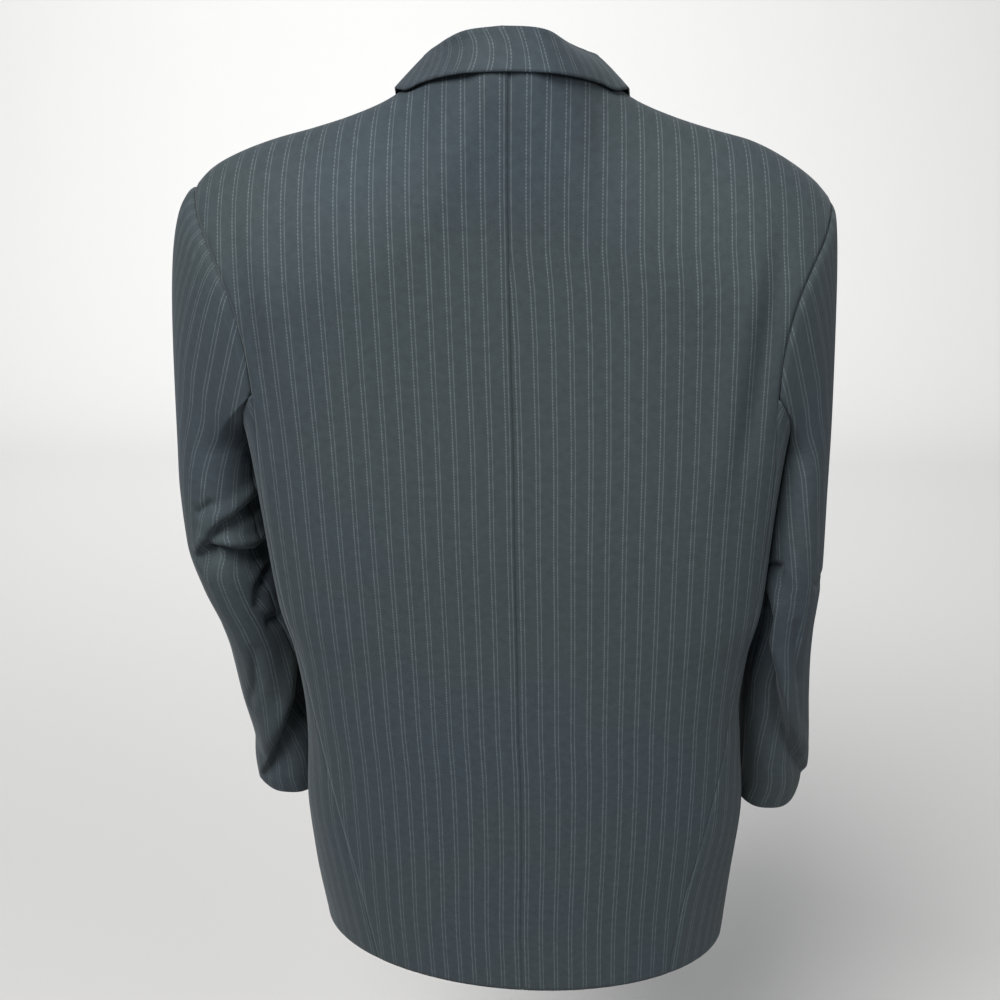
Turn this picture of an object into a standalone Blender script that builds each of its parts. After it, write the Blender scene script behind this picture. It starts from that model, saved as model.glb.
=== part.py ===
"""A three-button sport coat, hollow and in the pose it is worn in.

Metres, +Z up. The coat's front faces -Y and the wearer's left is +X. The origin is the
middle of the neck opening, level with the side of the neck.
"""

import math

import bmesh
import bpy
import numpy as np
from mathutils import Matrix, Vector

# ---- driving sizes ---------------------------------------------------------------------
CLOTH = 0.0018            # thickness of one wall of cloth
SEAM_GAP = 0.0004         # clear space between two pieces at a seam
CENTRE_GAP = 0.00035      # each half of the back starts this far from the middle
PLY_GAP = 0.0007          # clear space between a piece and the panel that it lies on
HEM = -0.811              # height of the hem
SHOULDER_X = 0.247        # from the middle to the shoulder point, where the sleeve starts
NECK_X = 0.0642           # from the middle to the side of the neck, where the collar sits
BUTTON_LEVELS = (-0.375, -0.480, -0.585)
BUTTON_DIAMETER = 0.020
BUTTON_HEIGHT = 0.0036
BUTTON_PROFILE = ((0.70, 0), (0.93, 0.28), (1, 0.60), (0.94, 0.93), (0.80, 1), (0.62, 0.72))
BUTTON_DISH = 0.62        # height of the face's middle, in shares like the profile's
BUTTON_SIDES = 24
LAP = 0.019               # each front runs this far past the centre front
BREAK = -0.350            # height at which the lapels turn back
CUTAWAY_RADIUS = 0.115    # the round lower corner of each front
CORNER_SWEEP = 0.98       # how nearly that corner turns level at the hem
CORNER_START = 0.70       # share of a front's rows that lie above the corner
FLAP_SIZE = (0.100, 0.052)
FLAP_START = (0.058, -0.560)  # upper inner corner, in the front view
FLAP_SLANT = -0.004
WELT_SIZE = (0.088, 0.024)
WELT_START = (0.078, -0.222)
WELT_SLANT = 0.010
SHOULDER_DROP = {1: 0.0, -1: 0.010}   # how much lower each shoulder point lies
SHOULDER_DROP_ACROSS = (0.175, 0.260) # across which that sets in
SHOULDER_DROP_LEVELS = (-0.200, -0.095)
HEM_TILT = 0.034          # the hem's rise towards the wearer's left, a share of the distance
HEM_TILT_LEVEL = -0.620   # from which that sets in
LAP_LIFT = 0.0017         # the left front lies this far out where it laps, the right one in
LAP_FADE = (0.030, 0.075) # across which that fades out, from the centre front

# The body's level sections. half_width is at widest_y, back_y and front_y are on the
# centre lines, and drift is how far the coat hangs towards the wearer's left.
SECTION_COLUMNS = "level half_width back_y front_y widest_y back_power front_power drift"
SECTION_ROWS = (
    (0.060, 0.262, 0.078, -0.060, 0.000, 2.8, 2.0, -0.003),
    (0.000, 0.262, 0.081, -0.085, 0.000, 2.8, 2.0, -0.003),
    (-0.060, 0.262, 0.081, -0.118, 0.000, 2.8, 2.0, -0.003),
    (-0.120, 0.260, 0.080, -0.145, 0.004, 2.8, 2.0, -0.004),
    (-0.200, 0.238, 0.080, -0.166, 0.010, 2.8, 1.9, -0.006),
    (-0.270, 0.217, 0.080, -0.175, 0.014, 2.8, 1.9, -0.008),
    (-0.340, 0.211, 0.079, -0.176, 0.012, 2.7, 1.9, -0.009),
    (-0.425, 0.206, 0.074, -0.174, 0.004, 2.6, 1.9, -0.011),
    (-0.473, 0.198, 0.071, -0.172, -0.005, 2.5, 1.9, -0.012),
    (-0.525, 0.195, 0.068, -0.172, -0.014, 2.4, 1.9, -0.013),
    (-0.573, 0.1985, 0.065, -0.174, -0.025, 2.3, 2.0, -0.015),
    (-0.660, 0.2065, 0.058, -0.184, -0.043, 2.2, 2.0, -0.016),
    (-0.730, 0.2045, 0.053, -0.194, -0.055, 2.1, 2.0, -0.0155),
    (-0.811, 0.200, 0.048, -0.204, -0.066, 2.0, 2.0, -0.0175),
)

# The line over the top of the shoulder. Inside NECK_X it is the side of the neck column,
# which only shapes the cloth next to the collar.
RIDGE_COLUMNS = "across level y"
RIDGE_ROWS = (
    (0.000, 0.1100, -0.002),
    (0.010, 0.1085, -0.002),
    (0.030, 0.070, -0.002),
    (0.050, 0.033, -0.002),
    (0.0642, 0.009, -0.002),
    (0.090, -0.0120, -0.004),
    (0.120, -0.0250, -0.007),
    (0.150, -0.0345, -0.010),
    (0.183, -0.0435, -0.013),
    (0.216, -0.0560, -0.017),
    (0.233, -0.0655, -0.019),
    (0.247, -0.0790, -0.020),
    (0.262, -0.0990, -0.020),
)
BACK_ROUNDING = 0.120     # the back reaches its full depth this far below the ridge
FRONT_ROUNDING = 0.160

NECK_CURVE_COLUMNS = "across level"
NECK_CURVE_ROWS = ((0.000, 0.0135), (0.030, 0.0125), (0.050, 0.0105), (0.0642, 0.009))

# Outer edge of the back and of the front: the armhole down to SIDE_START, then a seam.
BACK_EDGE_COLUMNS = "level across"
BACK_EDGE_ROWS = (
    (-0.079, 0.2470),
    (-0.100, 0.2365),
    (-0.120, 0.2255),
    (-0.140, 0.2165),
    (-0.160, 0.2100),
    (-0.180, 0.2060),
    (-0.200, 0.2035),
    (-0.230, 0.2025),
    (-0.300, 0.2050),
    (-0.400, 0.2000),
    (-0.500, 0.1860),
    (-0.570, 0.1780),
    (-0.660, 0.1630),
    (-0.730, 0.1500),
    (-0.811, 0.1400),
)
FRONT_EDGE_ROWS = (
    (-0.079, 0.2470),
    (-0.100, 0.2340),
    (-0.120, 0.2200),
    (-0.140, 0.2090),
    (-0.160, 0.2010),
    (-0.180, 0.1955),
    (-0.205, 0.1925),
    (-0.232, 0.1920),
    (-0.300, 0.1850),
    (-0.400, 0.1780),
    (-0.500, 0.1680),
    (-0.600, 0.1690),
    (-0.700, 0.1730),
    (-0.811, 0.1700),
)
SIDE_START_ROW = 9        # the row of the back and front at which the side panel starts
BACK_SEAM_INSET = 4.0     # turn per gap, which the section's roundness there sets
FRONT_SEAM_INSET = 1.6
SIDE_JOIN = -0.300        # from here down all panels share their rows' heights
UNDERARM_DIP = 0.032
UNDERARM_TURNS = (100, 260)   # the turns round the sleeve that meet the side panel's top

# Large soft folds: the cloth moves out (+) or in (-) by depth along a line on the back.
BACK_FOLD_COLUMNS = "side top_x top_z bottom_x bottom_z width depth"
BACK_FOLD_ROWS = (
    (-1, 0.197, -0.115, 0.178, -0.270, 0.010, -0.0050),
    (-1, 0.178, -0.130, 0.160, -0.290, 0.013, 0.0030),
    (1, 0.205, -0.110, 0.188, -0.240, 0.012, -0.0035),
    (1, 0.185, -0.120, 0.170, -0.260, 0.014, 0.0022),
)

# Sleeve sections, square to the arm: outer and inner are distances from the middle plane,
# and a power under 1 makes the section squarer than an ellipse.
SLEEVE_COLUMNS = "level outer inner y half_depth pitch power"
SLEEVE_ROWS = {
    1: (
        (-0.285, 0.2797, 0.204, -0.040, 0.074, 0, 1.00),
        (-0.330, 0.2815, 0.206, -0.039, 0.072, 0, 1.00),
        (-0.375, 0.2805, 0.206, -0.040, 0.069, 4, 0.98),
        (-0.410, 0.2730, 0.203, -0.045, 0.066, 12, 0.95),
        (-0.445, 0.2622, 0.199, -0.053, 0.063, 17, 0.92),
        (-0.480, 0.2578, 0.194, -0.063, 0.061, 18, 0.90),
        (-0.540, 0.2562, 0.190, -0.082, 0.059, 18, 0.86),
        (-0.605, 0.2525, 0.184, -0.104, 0.057, 18, 0.80),
        (-0.640, 0.2562, 0.184, -0.114, 0.056, 18, 0.76),
        (-0.661, 0.2572, 0.182, -0.121, 0.054, 18, 0.74),
    ),
    -1: (
        (-0.285, 0.2700, 0.212, -0.045, 0.076, 0, 1.00),
        (-0.330, 0.2715, 0.212, -0.043, 0.073, 0, 1.00),
        (-0.375, 0.2735, 0.212, -0.042, 0.070, 3, 0.98),
        (-0.410, 0.2752, 0.212, -0.045, 0.066, 10, 0.95),
        (-0.445, 0.2752, 0.212, -0.052, 0.063, 14, 0.92),
        (-0.480, 0.2770, 0.212, -0.061, 0.061, 15, 0.90),
        (-0.540, 0.2835, 0.215, -0.078, 0.059, 16, 0.86),
        (-0.605, 0.2930, 0.221, -0.098, 0.057, 18, 0.80),
        (-0.635, 0.2968, 0.223, -0.109, 0.056, 20, 0.76),
        (-0.659, 0.2930, 0.221, -0.116, 0.055, 24, 0.74),
    ),
}
# Creases of the sleeves: the wall moves out (+) or in (-) by depth along a line from one
# place to another. A place is a turn in degrees from the outside, by way of the front,
# and a level.
CREASE_COLUMNS = "side turn_a level_a turn_b level_b width depth"
CREASE_ROWS = (
    (1, 206, -0.316, 250, -0.340, 0.0085, -0.0035),
    (1, 200, -0.336, 246, -0.357, 0.0080, -0.0040),
    (1, 196, -0.364, 296, -0.360, 0.0100, 0.0035),
    (1, 192, -0.386, 298, -0.379, 0.0090, -0.0070),
    (1, 194, -0.406, 240, -0.428, 0.0090, -0.0045),
    (1, 176, -0.455, 250, -0.582, 0.0095, -0.0070),
    (1, 200, -0.455, 272, -0.580, 0.0110, 0.0030),
    (1, 226, -0.550, 306, -0.648, 0.0090, -0.0065),
    (1, 250, -0.552, 318, -0.640, 0.0110, 0.0025),
    (1, 20, -0.398, 130, -0.408, 0.0110, -0.0050),
    (1, 30, -0.432, 125, -0.428, 0.0110, 0.0030),
    (-1, 196, -0.390, 254, -0.380, 0.0085, -0.0040),
    (-1, 228, -0.395, 274, -0.496, 0.0100, 0.0035),
    (-1, 208, -0.398, 254, -0.500, 0.0100, -0.0060),
    (-1, 256, -0.490, 284, -0.580, 0.0100, 0.0030),
    (-1, 234, -0.480, 266, -0.584, 0.0100, -0.0065),
    (-1, 272, -0.555, 342, -0.655, 0.0100, 0.0030),
    (-1, 254, -0.565, 326, -0.665, 0.0095, -0.0060),
    (-1, 20, -0.400, 130, -0.405, 0.0110, -0.0045),
    (-1, 30, -0.434, 125, -0.428, 0.0110, 0.0030),
)
DEGREE = 0.00095          # metres round a sleeve for each degree of turn
SEAM_BACK_TURN = 216      # the sleeve's two seams, in the same degrees
SEAM_FRONT_TURN = 125
SLEEVE_HEAD = {1: 0.42, -1: 0.12}   # how far the sleeve stands out past the shoulder
UNDERARM_FULLNESS = 0.50  # and how far under the arm
SLEEVE_SEAM_GAP = 0.0003  # from the line of a sleeve seam to each piece
CLEAR_BELOW = -0.21       # the sleeve is kept off the body from this height down
EASED_AT_ARMHOLE = 0.0006 # and that much less so next to the armhole
BODY_CLEARANCE = 0.0034   # between the middles of the sleeve's and the body's walls

# Half of the collar, from the centre back to its front end: the seam along the neck, the
# fold on top, and the outer edge of the turned-down part.
COLLAR_COLUMNS = "seam_x seam_y seam_z fold_x fold_y fold_z edge_x edge_y edge_z"
COLLAR_SWELL = 0.0022     # how far the turned-down part curves out between its edges
COLLAR_BACK_ROWS = (
    (0.000, 0.0750, 0.0160, 0.000, 0.0665, 0.0385, 0.000, 0.0834, 0.0114),
    (0.020, 0.0705, 0.0155, 0.018, 0.0600, 0.0368, 0.0267, 0.0788, 0.0103),
    (0.038, 0.0585, 0.0145, 0.034, 0.0440, 0.0325, 0.0483, 0.0616, 0.0064),
    (0.051, 0.0380, 0.0135, 0.046, 0.0240, 0.0272, 0.0641, 0.0378, 0.0012),
    (0.0590, 0.0150, 0.0130, 0.0555, 0.0030, 0.0222, 0.0780, 0.0215, -0.0046),
    (0.0602, -0.0070, 0.0095, 0.0600, -0.0130, 0.0172, 0.0865, 0.0000, -0.0045),
)
COLLAR_LEAN = 0.0042      # how far the fold stands towards the wearer's left at the back
COLLAR_LEAN_FADE = (0.25, 0.62)   # along each half, from the centre back to its end
# The rest of the collar follows the roll line down the front: the height on that line,
# how far the stand reaches in, and where the outer edge lies in the front view.
COLLAR_FRONT_COLUMNS = "roll_z stand edge_x edge_z"
COLLAR_FRONT_ROWS = (
    (-0.004, 0.011, 0.088, -0.0190),
    (-0.020, 0.009, 0.097, -0.036),
    (-0.038, 0.007, 0.107, -0.056),
    (-0.056, 0.005, 0.117, -0.078),
)
ROLL_INSET = 0.0053       # the collar's fold lies this far inside the roll line
ROLL_LIFT = 0.0047
ROLL_RADIUS = 0.0030      # of the fold itself

# Lapel in the front view: its turned-back edge from the break up to the notch.
LAPEL_COLUMNS = "across level"
LAPEL_ROWS = (
    (-0.017, -0.350),
    (0.022, -0.300),
    (0.062, -0.240),
    (0.103, -0.170),
    (0.133, -0.105),
)
GORGE_TOP = (0.052, -0.060)
RIGHT_LAPEL_START = 0.19  # share of the right lapel that the left front covers
LAPEL_COVER_GAP = 0.009
LAPEL_RISE = 0.0035       # how far the lapel stands off the front at its middle

BODY_COLUMNS = (0, 0.09, 0.18, 0.26, 0.36, 0.47, 0.58, 0.68, 0.78, 0.87, 0.94, 1)
BODY_ROWS = 25
SIDE_COLUMNS = 5
SLEEVE_CAP_ROWS = 7
SLEEVE_ARM_ROWS = 26
TOP_SLEEVE_COLUMNS = 18
UNDER_SLEEVE_COLUMNS = 7
COLLAR_ACROSS = 10        # to each side of the centre back
COLLAR_STAND = 2
COLLAR_ROLL = 4
COLLAR_FALL = 3

CLOTH_COLOUR = (0.060, 0.068, 0.075)
UNDERCOLLAR_COLOUR = (0.055, 0.062, 0.070)
BUTTON_COLOUR = (0.025, 0.024, 0.024)


# ---- curves through the tables ---------------------------------------------------------
def columns(names, rows):
    """The table's columns by name."""
    return dict(zip(names.split(), np.array(rows, float).T))


def smooth(keys, values, at):
    """A smooth curve through the rows that never overshoots them."""
    keys, values, at = (np.asarray(x, float) for x in (keys, values, at))
    if keys[0] > keys[-1]:
        keys, values = keys[::-1], values[::-1]
    step = np.diff(keys)
    slope = np.diff(values) / step
    tangent = np.zeros_like(values)
    same = slope[:-1] * slope[1:] > 0
    weight_a = 2 * step[1:] + step[:-1]
    weight_b = step[1:] + 2 * step[:-1]
    safe_a = np.where(same, slope[:-1], 1.0)
    safe_b = np.where(same, slope[1:], 1.0)
    mean = (weight_a + weight_b) / (weight_a / safe_a + weight_b / safe_b)
    tangent[1:-1] = np.where(same, mean, 0.0)
    tangent[0], tangent[-1] = slope[0], slope[-1]
    at = np.clip(at, keys[0], keys[-1])
    cell = np.clip(np.searchsorted(keys, at, side="right") - 1, 0, len(step) - 1)
    width = step[cell]
    t = (at - keys[cell]) / width
    rise = t * t * (3 - 2 * t)
    leave = t * (1 - t) ** 2
    arrive = t * t * (t - 1)
    start, end = values[cell], values[cell + 1]
    return start + (end - start) * rise + width * (leave * tangent[cell] + arrive * tangent[cell + 1])


SECTIONS = columns(SECTION_COLUMNS, SECTION_ROWS)
RIDGE = columns(RIDGE_COLUMNS, RIDGE_ROWS)
NECK_CURVE = columns(NECK_CURVE_COLUMNS, NECK_CURVE_ROWS)
BACK_EDGE = columns(BACK_EDGE_COLUMNS, BACK_EDGE_ROWS)
FRONT_EDGE = columns(BACK_EDGE_COLUMNS, FRONT_EDGE_ROWS)


def section(name, level):
    """One column of the body's sections at this level."""
    return smooth(SECTIONS["level"], SECTIONS[name], level)


def ridge_level(across):
    return smooth(RIDGE["across"], RIDGE["level"], np.abs(across))


def ridge_y(across):
    return smooth(RIDGE["across"], RIDGE["y"], np.abs(across))


def rounding(below_ridge, reach):
    """0 at the top of the shoulder, 1 where the panel has its full depth."""
    k = np.clip(below_ridge / reach, 0, 1)
    return np.sqrt(1 - (1 - k) ** 2)


def fold_depth(side, across, level):
    """How far the back's soft folds move the cloth."""
    moved = np.zeros(np.broadcast(across, level).shape)
    for row in BACK_FOLD_ROWS:
        fold = dict(zip(BACK_FOLD_COLUMNS.split(), row))
        if fold["side"] != side:
            continue
        k = (level - fold["top_z"]) / (fold["bottom_z"] - fold["top_z"])
        line = fold["top_x"] + k * (fold["bottom_x"] - fold["top_x"])
        fade = np.exp(-(((k - 0.5) / 0.55) ** 4))
        moved = moved + fold["depth"] * fade * np.exp(-(((across - line) / fold["width"]) ** 2))
    return moved


def plan_y(across, level, back):
    """y of the level section, before the shoulder rounds it."""
    k = np.clip(np.abs(across) / section("half_width", level), 0, 1)
    power = section("back_power" if back else "front_power", level)
    middle = section("widest_y", level)
    far = section("back_y" if back else "front_y", level)
    return middle + (far - middle) * (1 - k**power) ** (1 / power)


def ease(k):
    """From 0 to 1 with a soft start and end."""
    k = np.clip(k, 0, 1)
    return k * k * (3 - 2 * k)


def hung(side, across, level):
    """The height at which a point hangs: the right shoulder slopes more than the left one,
    and the hem is a little lower on the right."""
    near, far = SHOULDER_DROP_ACROSS
    low, high = SHOULDER_DROP_LEVELS
    drop = SHOULDER_DROP[side] * ease((np.abs(across) - near) / (far - near))
    drop = drop * ease((level - low) / (high - low))
    tilt = HEM_TILT * side * across * ease((HEM_TILT_LEVEL - level) / (HEM_TILT_LEVEL - HEM))
    return level - drop + tilt


def panel_point(side, across, level, back):
    """The middle of the wall, across metres from the centre line of the back or front."""
    across = np.asarray(across, float)
    level = np.asarray(level, float)
    start = ridge_y(across)
    reach = BACK_ROUNDING if back else FRONT_ROUNDING
    full = plan_y(across, level, back)
    y = start + (full - start) * rounding(ridge_level(across) - level, reach)
    if back:
        y = y + fold_depth(side, across, level)
    x = side * across + section("drift", level)
    return np.stack(np.broadcast_arrays(x, y, hung(side, across, level)), -1)


def side_point(side, turn, level):
    """A point on the level section: turn runs from 0 at the back to pi at the front."""
    back = turn < math.pi / 2
    power = np.where(back, section("back_power", level), section("front_power", level))
    reach = np.where(back, section("back_y", level), section("front_y", level))
    middle = section("widest_y", level)
    across = section("half_width", level) * np.sin(turn) ** (2 / power)
    full = middle + (reach - middle) * np.abs(np.cos(turn)) ** (2 / power)
    start = ridge_y(across)
    span = np.where(back, BACK_ROUNDING, FRONT_ROUNDING)
    y = start + (full - start) * rounding(ridge_level(across) - level, span)
    x = side * across + section("drift", level)
    return np.stack(np.broadcast_arrays(x, y, hung(side, across, level)), -1)


def turn_at(across, level, back):
    """The turn at which the level section is this far across."""
    power = section("back_power" if back else "front_power", level)
    turn = np.arcsin(np.clip(across / section("half_width", level), 0, 1) ** (power / 2))
    return turn if back else math.pi - turn


def body_half_width_at(y, level):
    """How far the body reaches sideways at this y."""
    middle = section("widest_y", level)
    back = y > middle
    reach = np.where(back, section("back_y", level), section("front_y", level)) - middle
    power = np.where(back, section("back_power", level), section("front_power", level))
    k = np.clip(np.abs((y - middle) / reach), 0, 1)
    return section("half_width", level) * (1 - k**power) ** (1 / power)


# ---- solids from sheets ----------------------------------------------------------------
def material(name, colour, roughness):
    """A plain material in the piece's colour."""
    made = bpy.data.materials.new(name)
    made.use_nodes = True
    shader = made.node_tree.nodes["Principled BSDF"]
    shader.inputs["Base Color"].default_value = (*colour, 1)
    shader.inputs["Roughness"].default_value = roughness
    shader.inputs["Metallic"].default_value = 0.0
    return made


def wall(name, net, finish, outward, thickness=CLOTH):
    """A closed wall of cloth around a net of points, rows by columns. outward is a
    direction that the net's middle faces."""
    rows, cols = net.shape[:2]
    middle_r, middle_c = rows // 2, cols // 2
    along = net[middle_r, middle_c] - net[middle_r, middle_c - 1]
    down = net[middle_r, middle_c] - net[middle_r - 1, middle_c]
    flip = float(np.dot(np.cross(down, along), outward)) < 0
    mesh = bmesh.new()
    verts = [[mesh.verts.new(net[r, c]) for c in range(cols)] for r in range(rows)]
    for r in range(rows - 1):
        for c in range(cols - 1):
            corners = [verts[r][c], verts[r + 1][c], verts[r + 1][c + 1], verts[r][c + 1]]
            mesh.faces.new(corners[::-1] if flip else corners)
    data = bpy.data.meshes.new(name)
    mesh.to_mesh(data)
    mesh.free()
    data.shade_smooth()
    data.materials.append(finish)
    made = bpy.data.objects.new(name, data)
    bpy.context.scene.collection.objects.link(made)
    solid = made.modifiers.new("cloth", "SOLIDIFY")
    solid.thickness = thickness
    solid.offset = 0
    return made


def shell(name, net, normal, finish, thickness=CLOTH):
    """A closed wall around a net of points, thick along the given directions."""
    rows, cols = net.shape[:2]
    mesh = bmesh.new()
    layers = []
    for sign in (1, -1):
        points = net + normal * (sign * thickness / 2)
        layers.append([[mesh.verts.new(points[r, c]) for c in range(cols)] for r in range(rows)])
    along = net[rows // 2, cols // 2] - net[rows // 2, cols // 2 - 1]
    down = net[rows // 2, cols // 2] - net[rows // 2 - 1, cols // 2]
    outward = float(np.dot(np.cross(down, along), normal[rows // 2, cols // 2])) > 0
    for r in range(rows - 1):
        for c in range(cols - 1):
            for layer, front in zip(layers, (outward, not outward)):
                corners = [layer[r][c], layer[r + 1][c], layer[r + 1][c + 1], layer[r][c + 1]]
                mesh.faces.new(corners if front else corners[::-1])
    around = [(r, 0) for r in range(rows - 1)]
    around += [(rows - 1, c) for c in range(cols - 1)]
    around += [(r, cols - 1) for r in range(rows - 1, 0, -1)]
    around += [(0, c) for c in range(cols - 1, 0, -1)]
    for here, there in zip(around, around[1:] + around[:1]):
        corners = [layers[0][here[0]][here[1]], layers[1][here[0]][here[1]]]
        corners += [layers[1][there[0]][there[1]], layers[0][there[0]][there[1]]]
        mesh.faces.new(corners if outward else corners[::-1])
    data = bpy.data.meshes.new(name)
    mesh.to_mesh(data)
    mesh.free()
    data.shade_smooth()
    data.set_sharp_from_angle(angle=math.radians(50))
    data.materials.append(finish)
    made = bpy.data.objects.new(name, data)
    bpy.context.scene.collection.objects.link(made)
    return made


def net_normals(net):
    """Square to the net at each of its points."""
    along = np.gradient(net, axis=1)
    down = np.gradient(net, axis=0)
    normal = np.cross(down, along)
    return normal / np.linalg.norm(normal, axis=-1, keepdims=True)


def spread(rows, bend=0.4):
    """Row positions from 0 to 1, close together near 0 and then even."""
    k = np.linspace(0, 1, rows + 1)
    scale = 1 / (2 * bend - bend * bend)
    start = bend * bend * scale
    return np.where(k < bend, scale * k * k, start + 2 * scale * bend * (k - bend))


def patch(top, bottom, near, far, u, v):
    """Points between four edges, each given at u or v, in the (across, level) plane."""
    u = u[None, :, None]
    v = v[:, None, None]
    between = (1 - v) * top[None] + v * bottom[None]
    beside = (1 - u) * near[:, None] + u * far[:, None]
    upper = (1 - u) * top[0] + u * top[-1]
    lower = (1 - u) * bottom[0] + u * bottom[-1]
    return between + beside - ((1 - v) * upper + v * lower)


# ---- body ------------------------------------------------------------------------------
def outer_edge(edge, v, gap):
    """Points down the armhole and the seam below it, drawn in by the gap."""
    level = SHOULDER_LEVEL + v * (HEM - SHOULDER_LEVEL)
    across = smooth(edge["level"], edge["across"], level) - gap
    return np.stack([across, level], -1)


SHOULDER_LEVEL = float(ridge_level(SHOULDER_X))
ROW_LEVELS = SHOULDER_LEVEL + spread(BODY_ROWS) * (HEM - SHOULDER_LEVEL)
SIDE_START = float(ROW_LEVELS[SIDE_START_ROW])


def back_panel(side, finish):
    """Half of the back, from the centre seam to the armhole and the side seam."""
    u = np.array(BODY_COLUMNS)
    v = spread(BODY_ROWS)
    across = u * (SHOULDER_X - SEAM_GAP)
    across[0] = CENTRE_GAP
    neck = smooth(NECK_CURVE["across"], NECK_CURVE["level"], across)
    top_level = np.where(across < NECK_X, neck, ridge_level(across))
    top = np.stack([across, top_level], -1)
    near = np.stack([np.full_like(v, CENTRE_GAP), top[0, 1] + v * (HEM - top[0, 1])], -1)
    far = outer_edge(BACK_EDGE, v, SEAM_GAP / 2)
    far[0] = top[-1]
    hem_width = far[-1, 0]
    bottom = np.stack([near[0, 0] + u * (hem_width - near[0, 0]), np.full_like(u, HEM)], -1)
    flat = patch(top, bottom, near, far, u, v)
    net = panel_point(side, flat[..., 0], flat[..., 1], True)
    # The ridge is shared with the front, so the top row steps back by the gap.
    seam = across >= NECK_X
    net[0, seam, 1] += SEAM_GAP
    return wall(f"back_{SIDE_NAMES[side]}", net, finish, (0, 1, 0))


def front_edge_line(v):
    """The roll line down to the break, the lapped edge, and the round lower corner."""
    start = np.array([NECK_X + SEAM_GAP, float(ridge_level(NECK_X + SEAM_GAP))])
    corner_top = HEM + CUTAWAY_RADIUS
    angle = np.clip((v - CORNER_START) / (1 - CORNER_START), 0, 1) * math.asin(CORNER_SWEEP)
    straight = start[1] + np.clip(v / CORNER_START, 0, 1) * (corner_top - start[1])
    level = straight - CUTAWAY_RADIUS * np.sin(angle) / CORNER_SWEEP
    rolled = start[0] - (start[0] + LAP) * (start[1] - level) / (start[1] - BREAK)
    across = np.maximum(rolled, -LAP) + CUTAWAY_RADIUS * (1 - np.cos(angle))
    return np.stack([across, level], -1)


def lap_offset(side, across, level):
    """The left front lies over the right one where they lap."""
    return side * LAP_LIFT * ease((LAP_FADE[1] - across) / (LAP_FADE[1] - LAP_FADE[0]))


def front_surface(side, across, level):
    """The front panel's middle, with its lap."""
    point = panel_point(side, across, level, False)
    point[..., 1] -= lap_offset(side, np.asarray(across), np.asarray(level))
    return point


def front_frame(side, across, level):
    """Points of the front, the way out of it, and the way towards the middle."""
    step = 0.001
    across, level = np.broadcast_arrays(np.asarray(across, float), np.asarray(level, float))
    point = front_surface(side, across, level)
    beside = front_surface(side, across + step, level) - point
    below = front_surface(side, across, level - step) - point
    normal = np.cross(beside, below)
    normal /= np.linalg.norm(normal, axis=-1, keepdims=True)
    normal *= -np.sign(normal[..., 1:2])
    return point, normal, -beside / np.linalg.norm(beside, axis=-1, keepdims=True)


def front_panel(side, finish):
    """One front, from the roll line and the lapped edge to the armhole and side seam."""
    u = np.array(BODY_COLUMNS)
    v = spread(BODY_ROWS)
    near = front_edge_line(v)
    far = outer_edge(FRONT_EDGE, v, SEAM_GAP / 2)
    across = near[0, 0] + u * (SHOULDER_X - SEAM_GAP - near[0, 0])
    top = np.stack([across, ridge_level(across)], -1)
    near[0] = top[0]
    far[0] = top[-1]
    bottom = np.stack([near[-1, 0] + u * (far[-1, 0] - near[-1, 0]), np.full_like(u, HEM)], -1)
    flat = patch(top, bottom, near, far, u, v)
    net = front_surface(side, flat[..., 0], flat[..., 1])
    net[0, :, 1] -= SEAM_GAP
    return wall(f"front_{SIDE_NAMES[side]}", net, finish, (0, -1, 0))


def side_net(side, k, inset=0.0):
    """Points of the side panel: k runs from the back seam to the front seam. Its top row
    is the armhole's lower edge."""
    k = np.asarray(k, float)[None, :]
    rows = ROW_LEVELS[SIDE_START_ROW:, None]
    top = SIDE_START - UNDERARM_DIP * np.sin(math.pi * k)
    upper = top + (SIDE_JOIN - top) * (SIDE_START - rows) / (SIDE_START - SIDE_JOIN)
    level = np.where(rows > SIDE_JOIN, upper, rows)
    back_across = smooth(BACK_EDGE["level"], BACK_EDGE["across"], level)
    front_across = smooth(FRONT_EDGE["level"], FRONT_EDGE["across"], level)
    half_width = section("half_width", level)
    start = turn_at(back_across, level, True) + BACK_SEAM_INSET * inset / half_width
    end = turn_at(front_across, level, False) - FRONT_SEAM_INSET * inset / half_width
    return side_point(side, start + k * (end - start), level)


def side_panel(side, finish):
    """The panel under the arm, between the back and the front."""
    net = side_net(side, np.linspace(0, 1, SIDE_COLUMNS + 1), SEAM_GAP)
    return wall(f"side_{SIDE_NAMES[side]}", net, finish, (side, 0, 0))


# ---- sleeves ---------------------------------------------------------------------------
def armhole(side):
    """The armhole from the shoulder point by way of the front, as turns and points."""
    steps = np.linspace(0, 1, 40)
    front_level = SHOULDER_LEVEL + steps * (SIDE_START - SHOULDER_LEVEL)
    front_across = smooth(FRONT_EDGE["level"], FRONT_EDGE["across"], front_level)
    front = panel_point(side, front_across, front_level, False)
    under = side_net(side, steps[::-1])[0]
    back_level = SIDE_START + steps * (SHOULDER_LEVEL - SIDE_START)
    back_across = smooth(BACK_EDGE["level"], BACK_EDGE["across"], back_level)
    back = panel_point(side, back_across, back_level, True)
    loop = np.concatenate([front[:-1], under[:-1], back])
    length = np.concatenate([[0], np.cumsum(np.linalg.norm(np.diff(loop, axis=0), axis=1))])
    ends = [0, length[len(front) - 1], length[len(front) + len(under) - 2], length[-1]]
    turn = np.interp(length, ends, [0, *UNDERARM_TURNS, 360])
    return turn, loop


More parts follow.
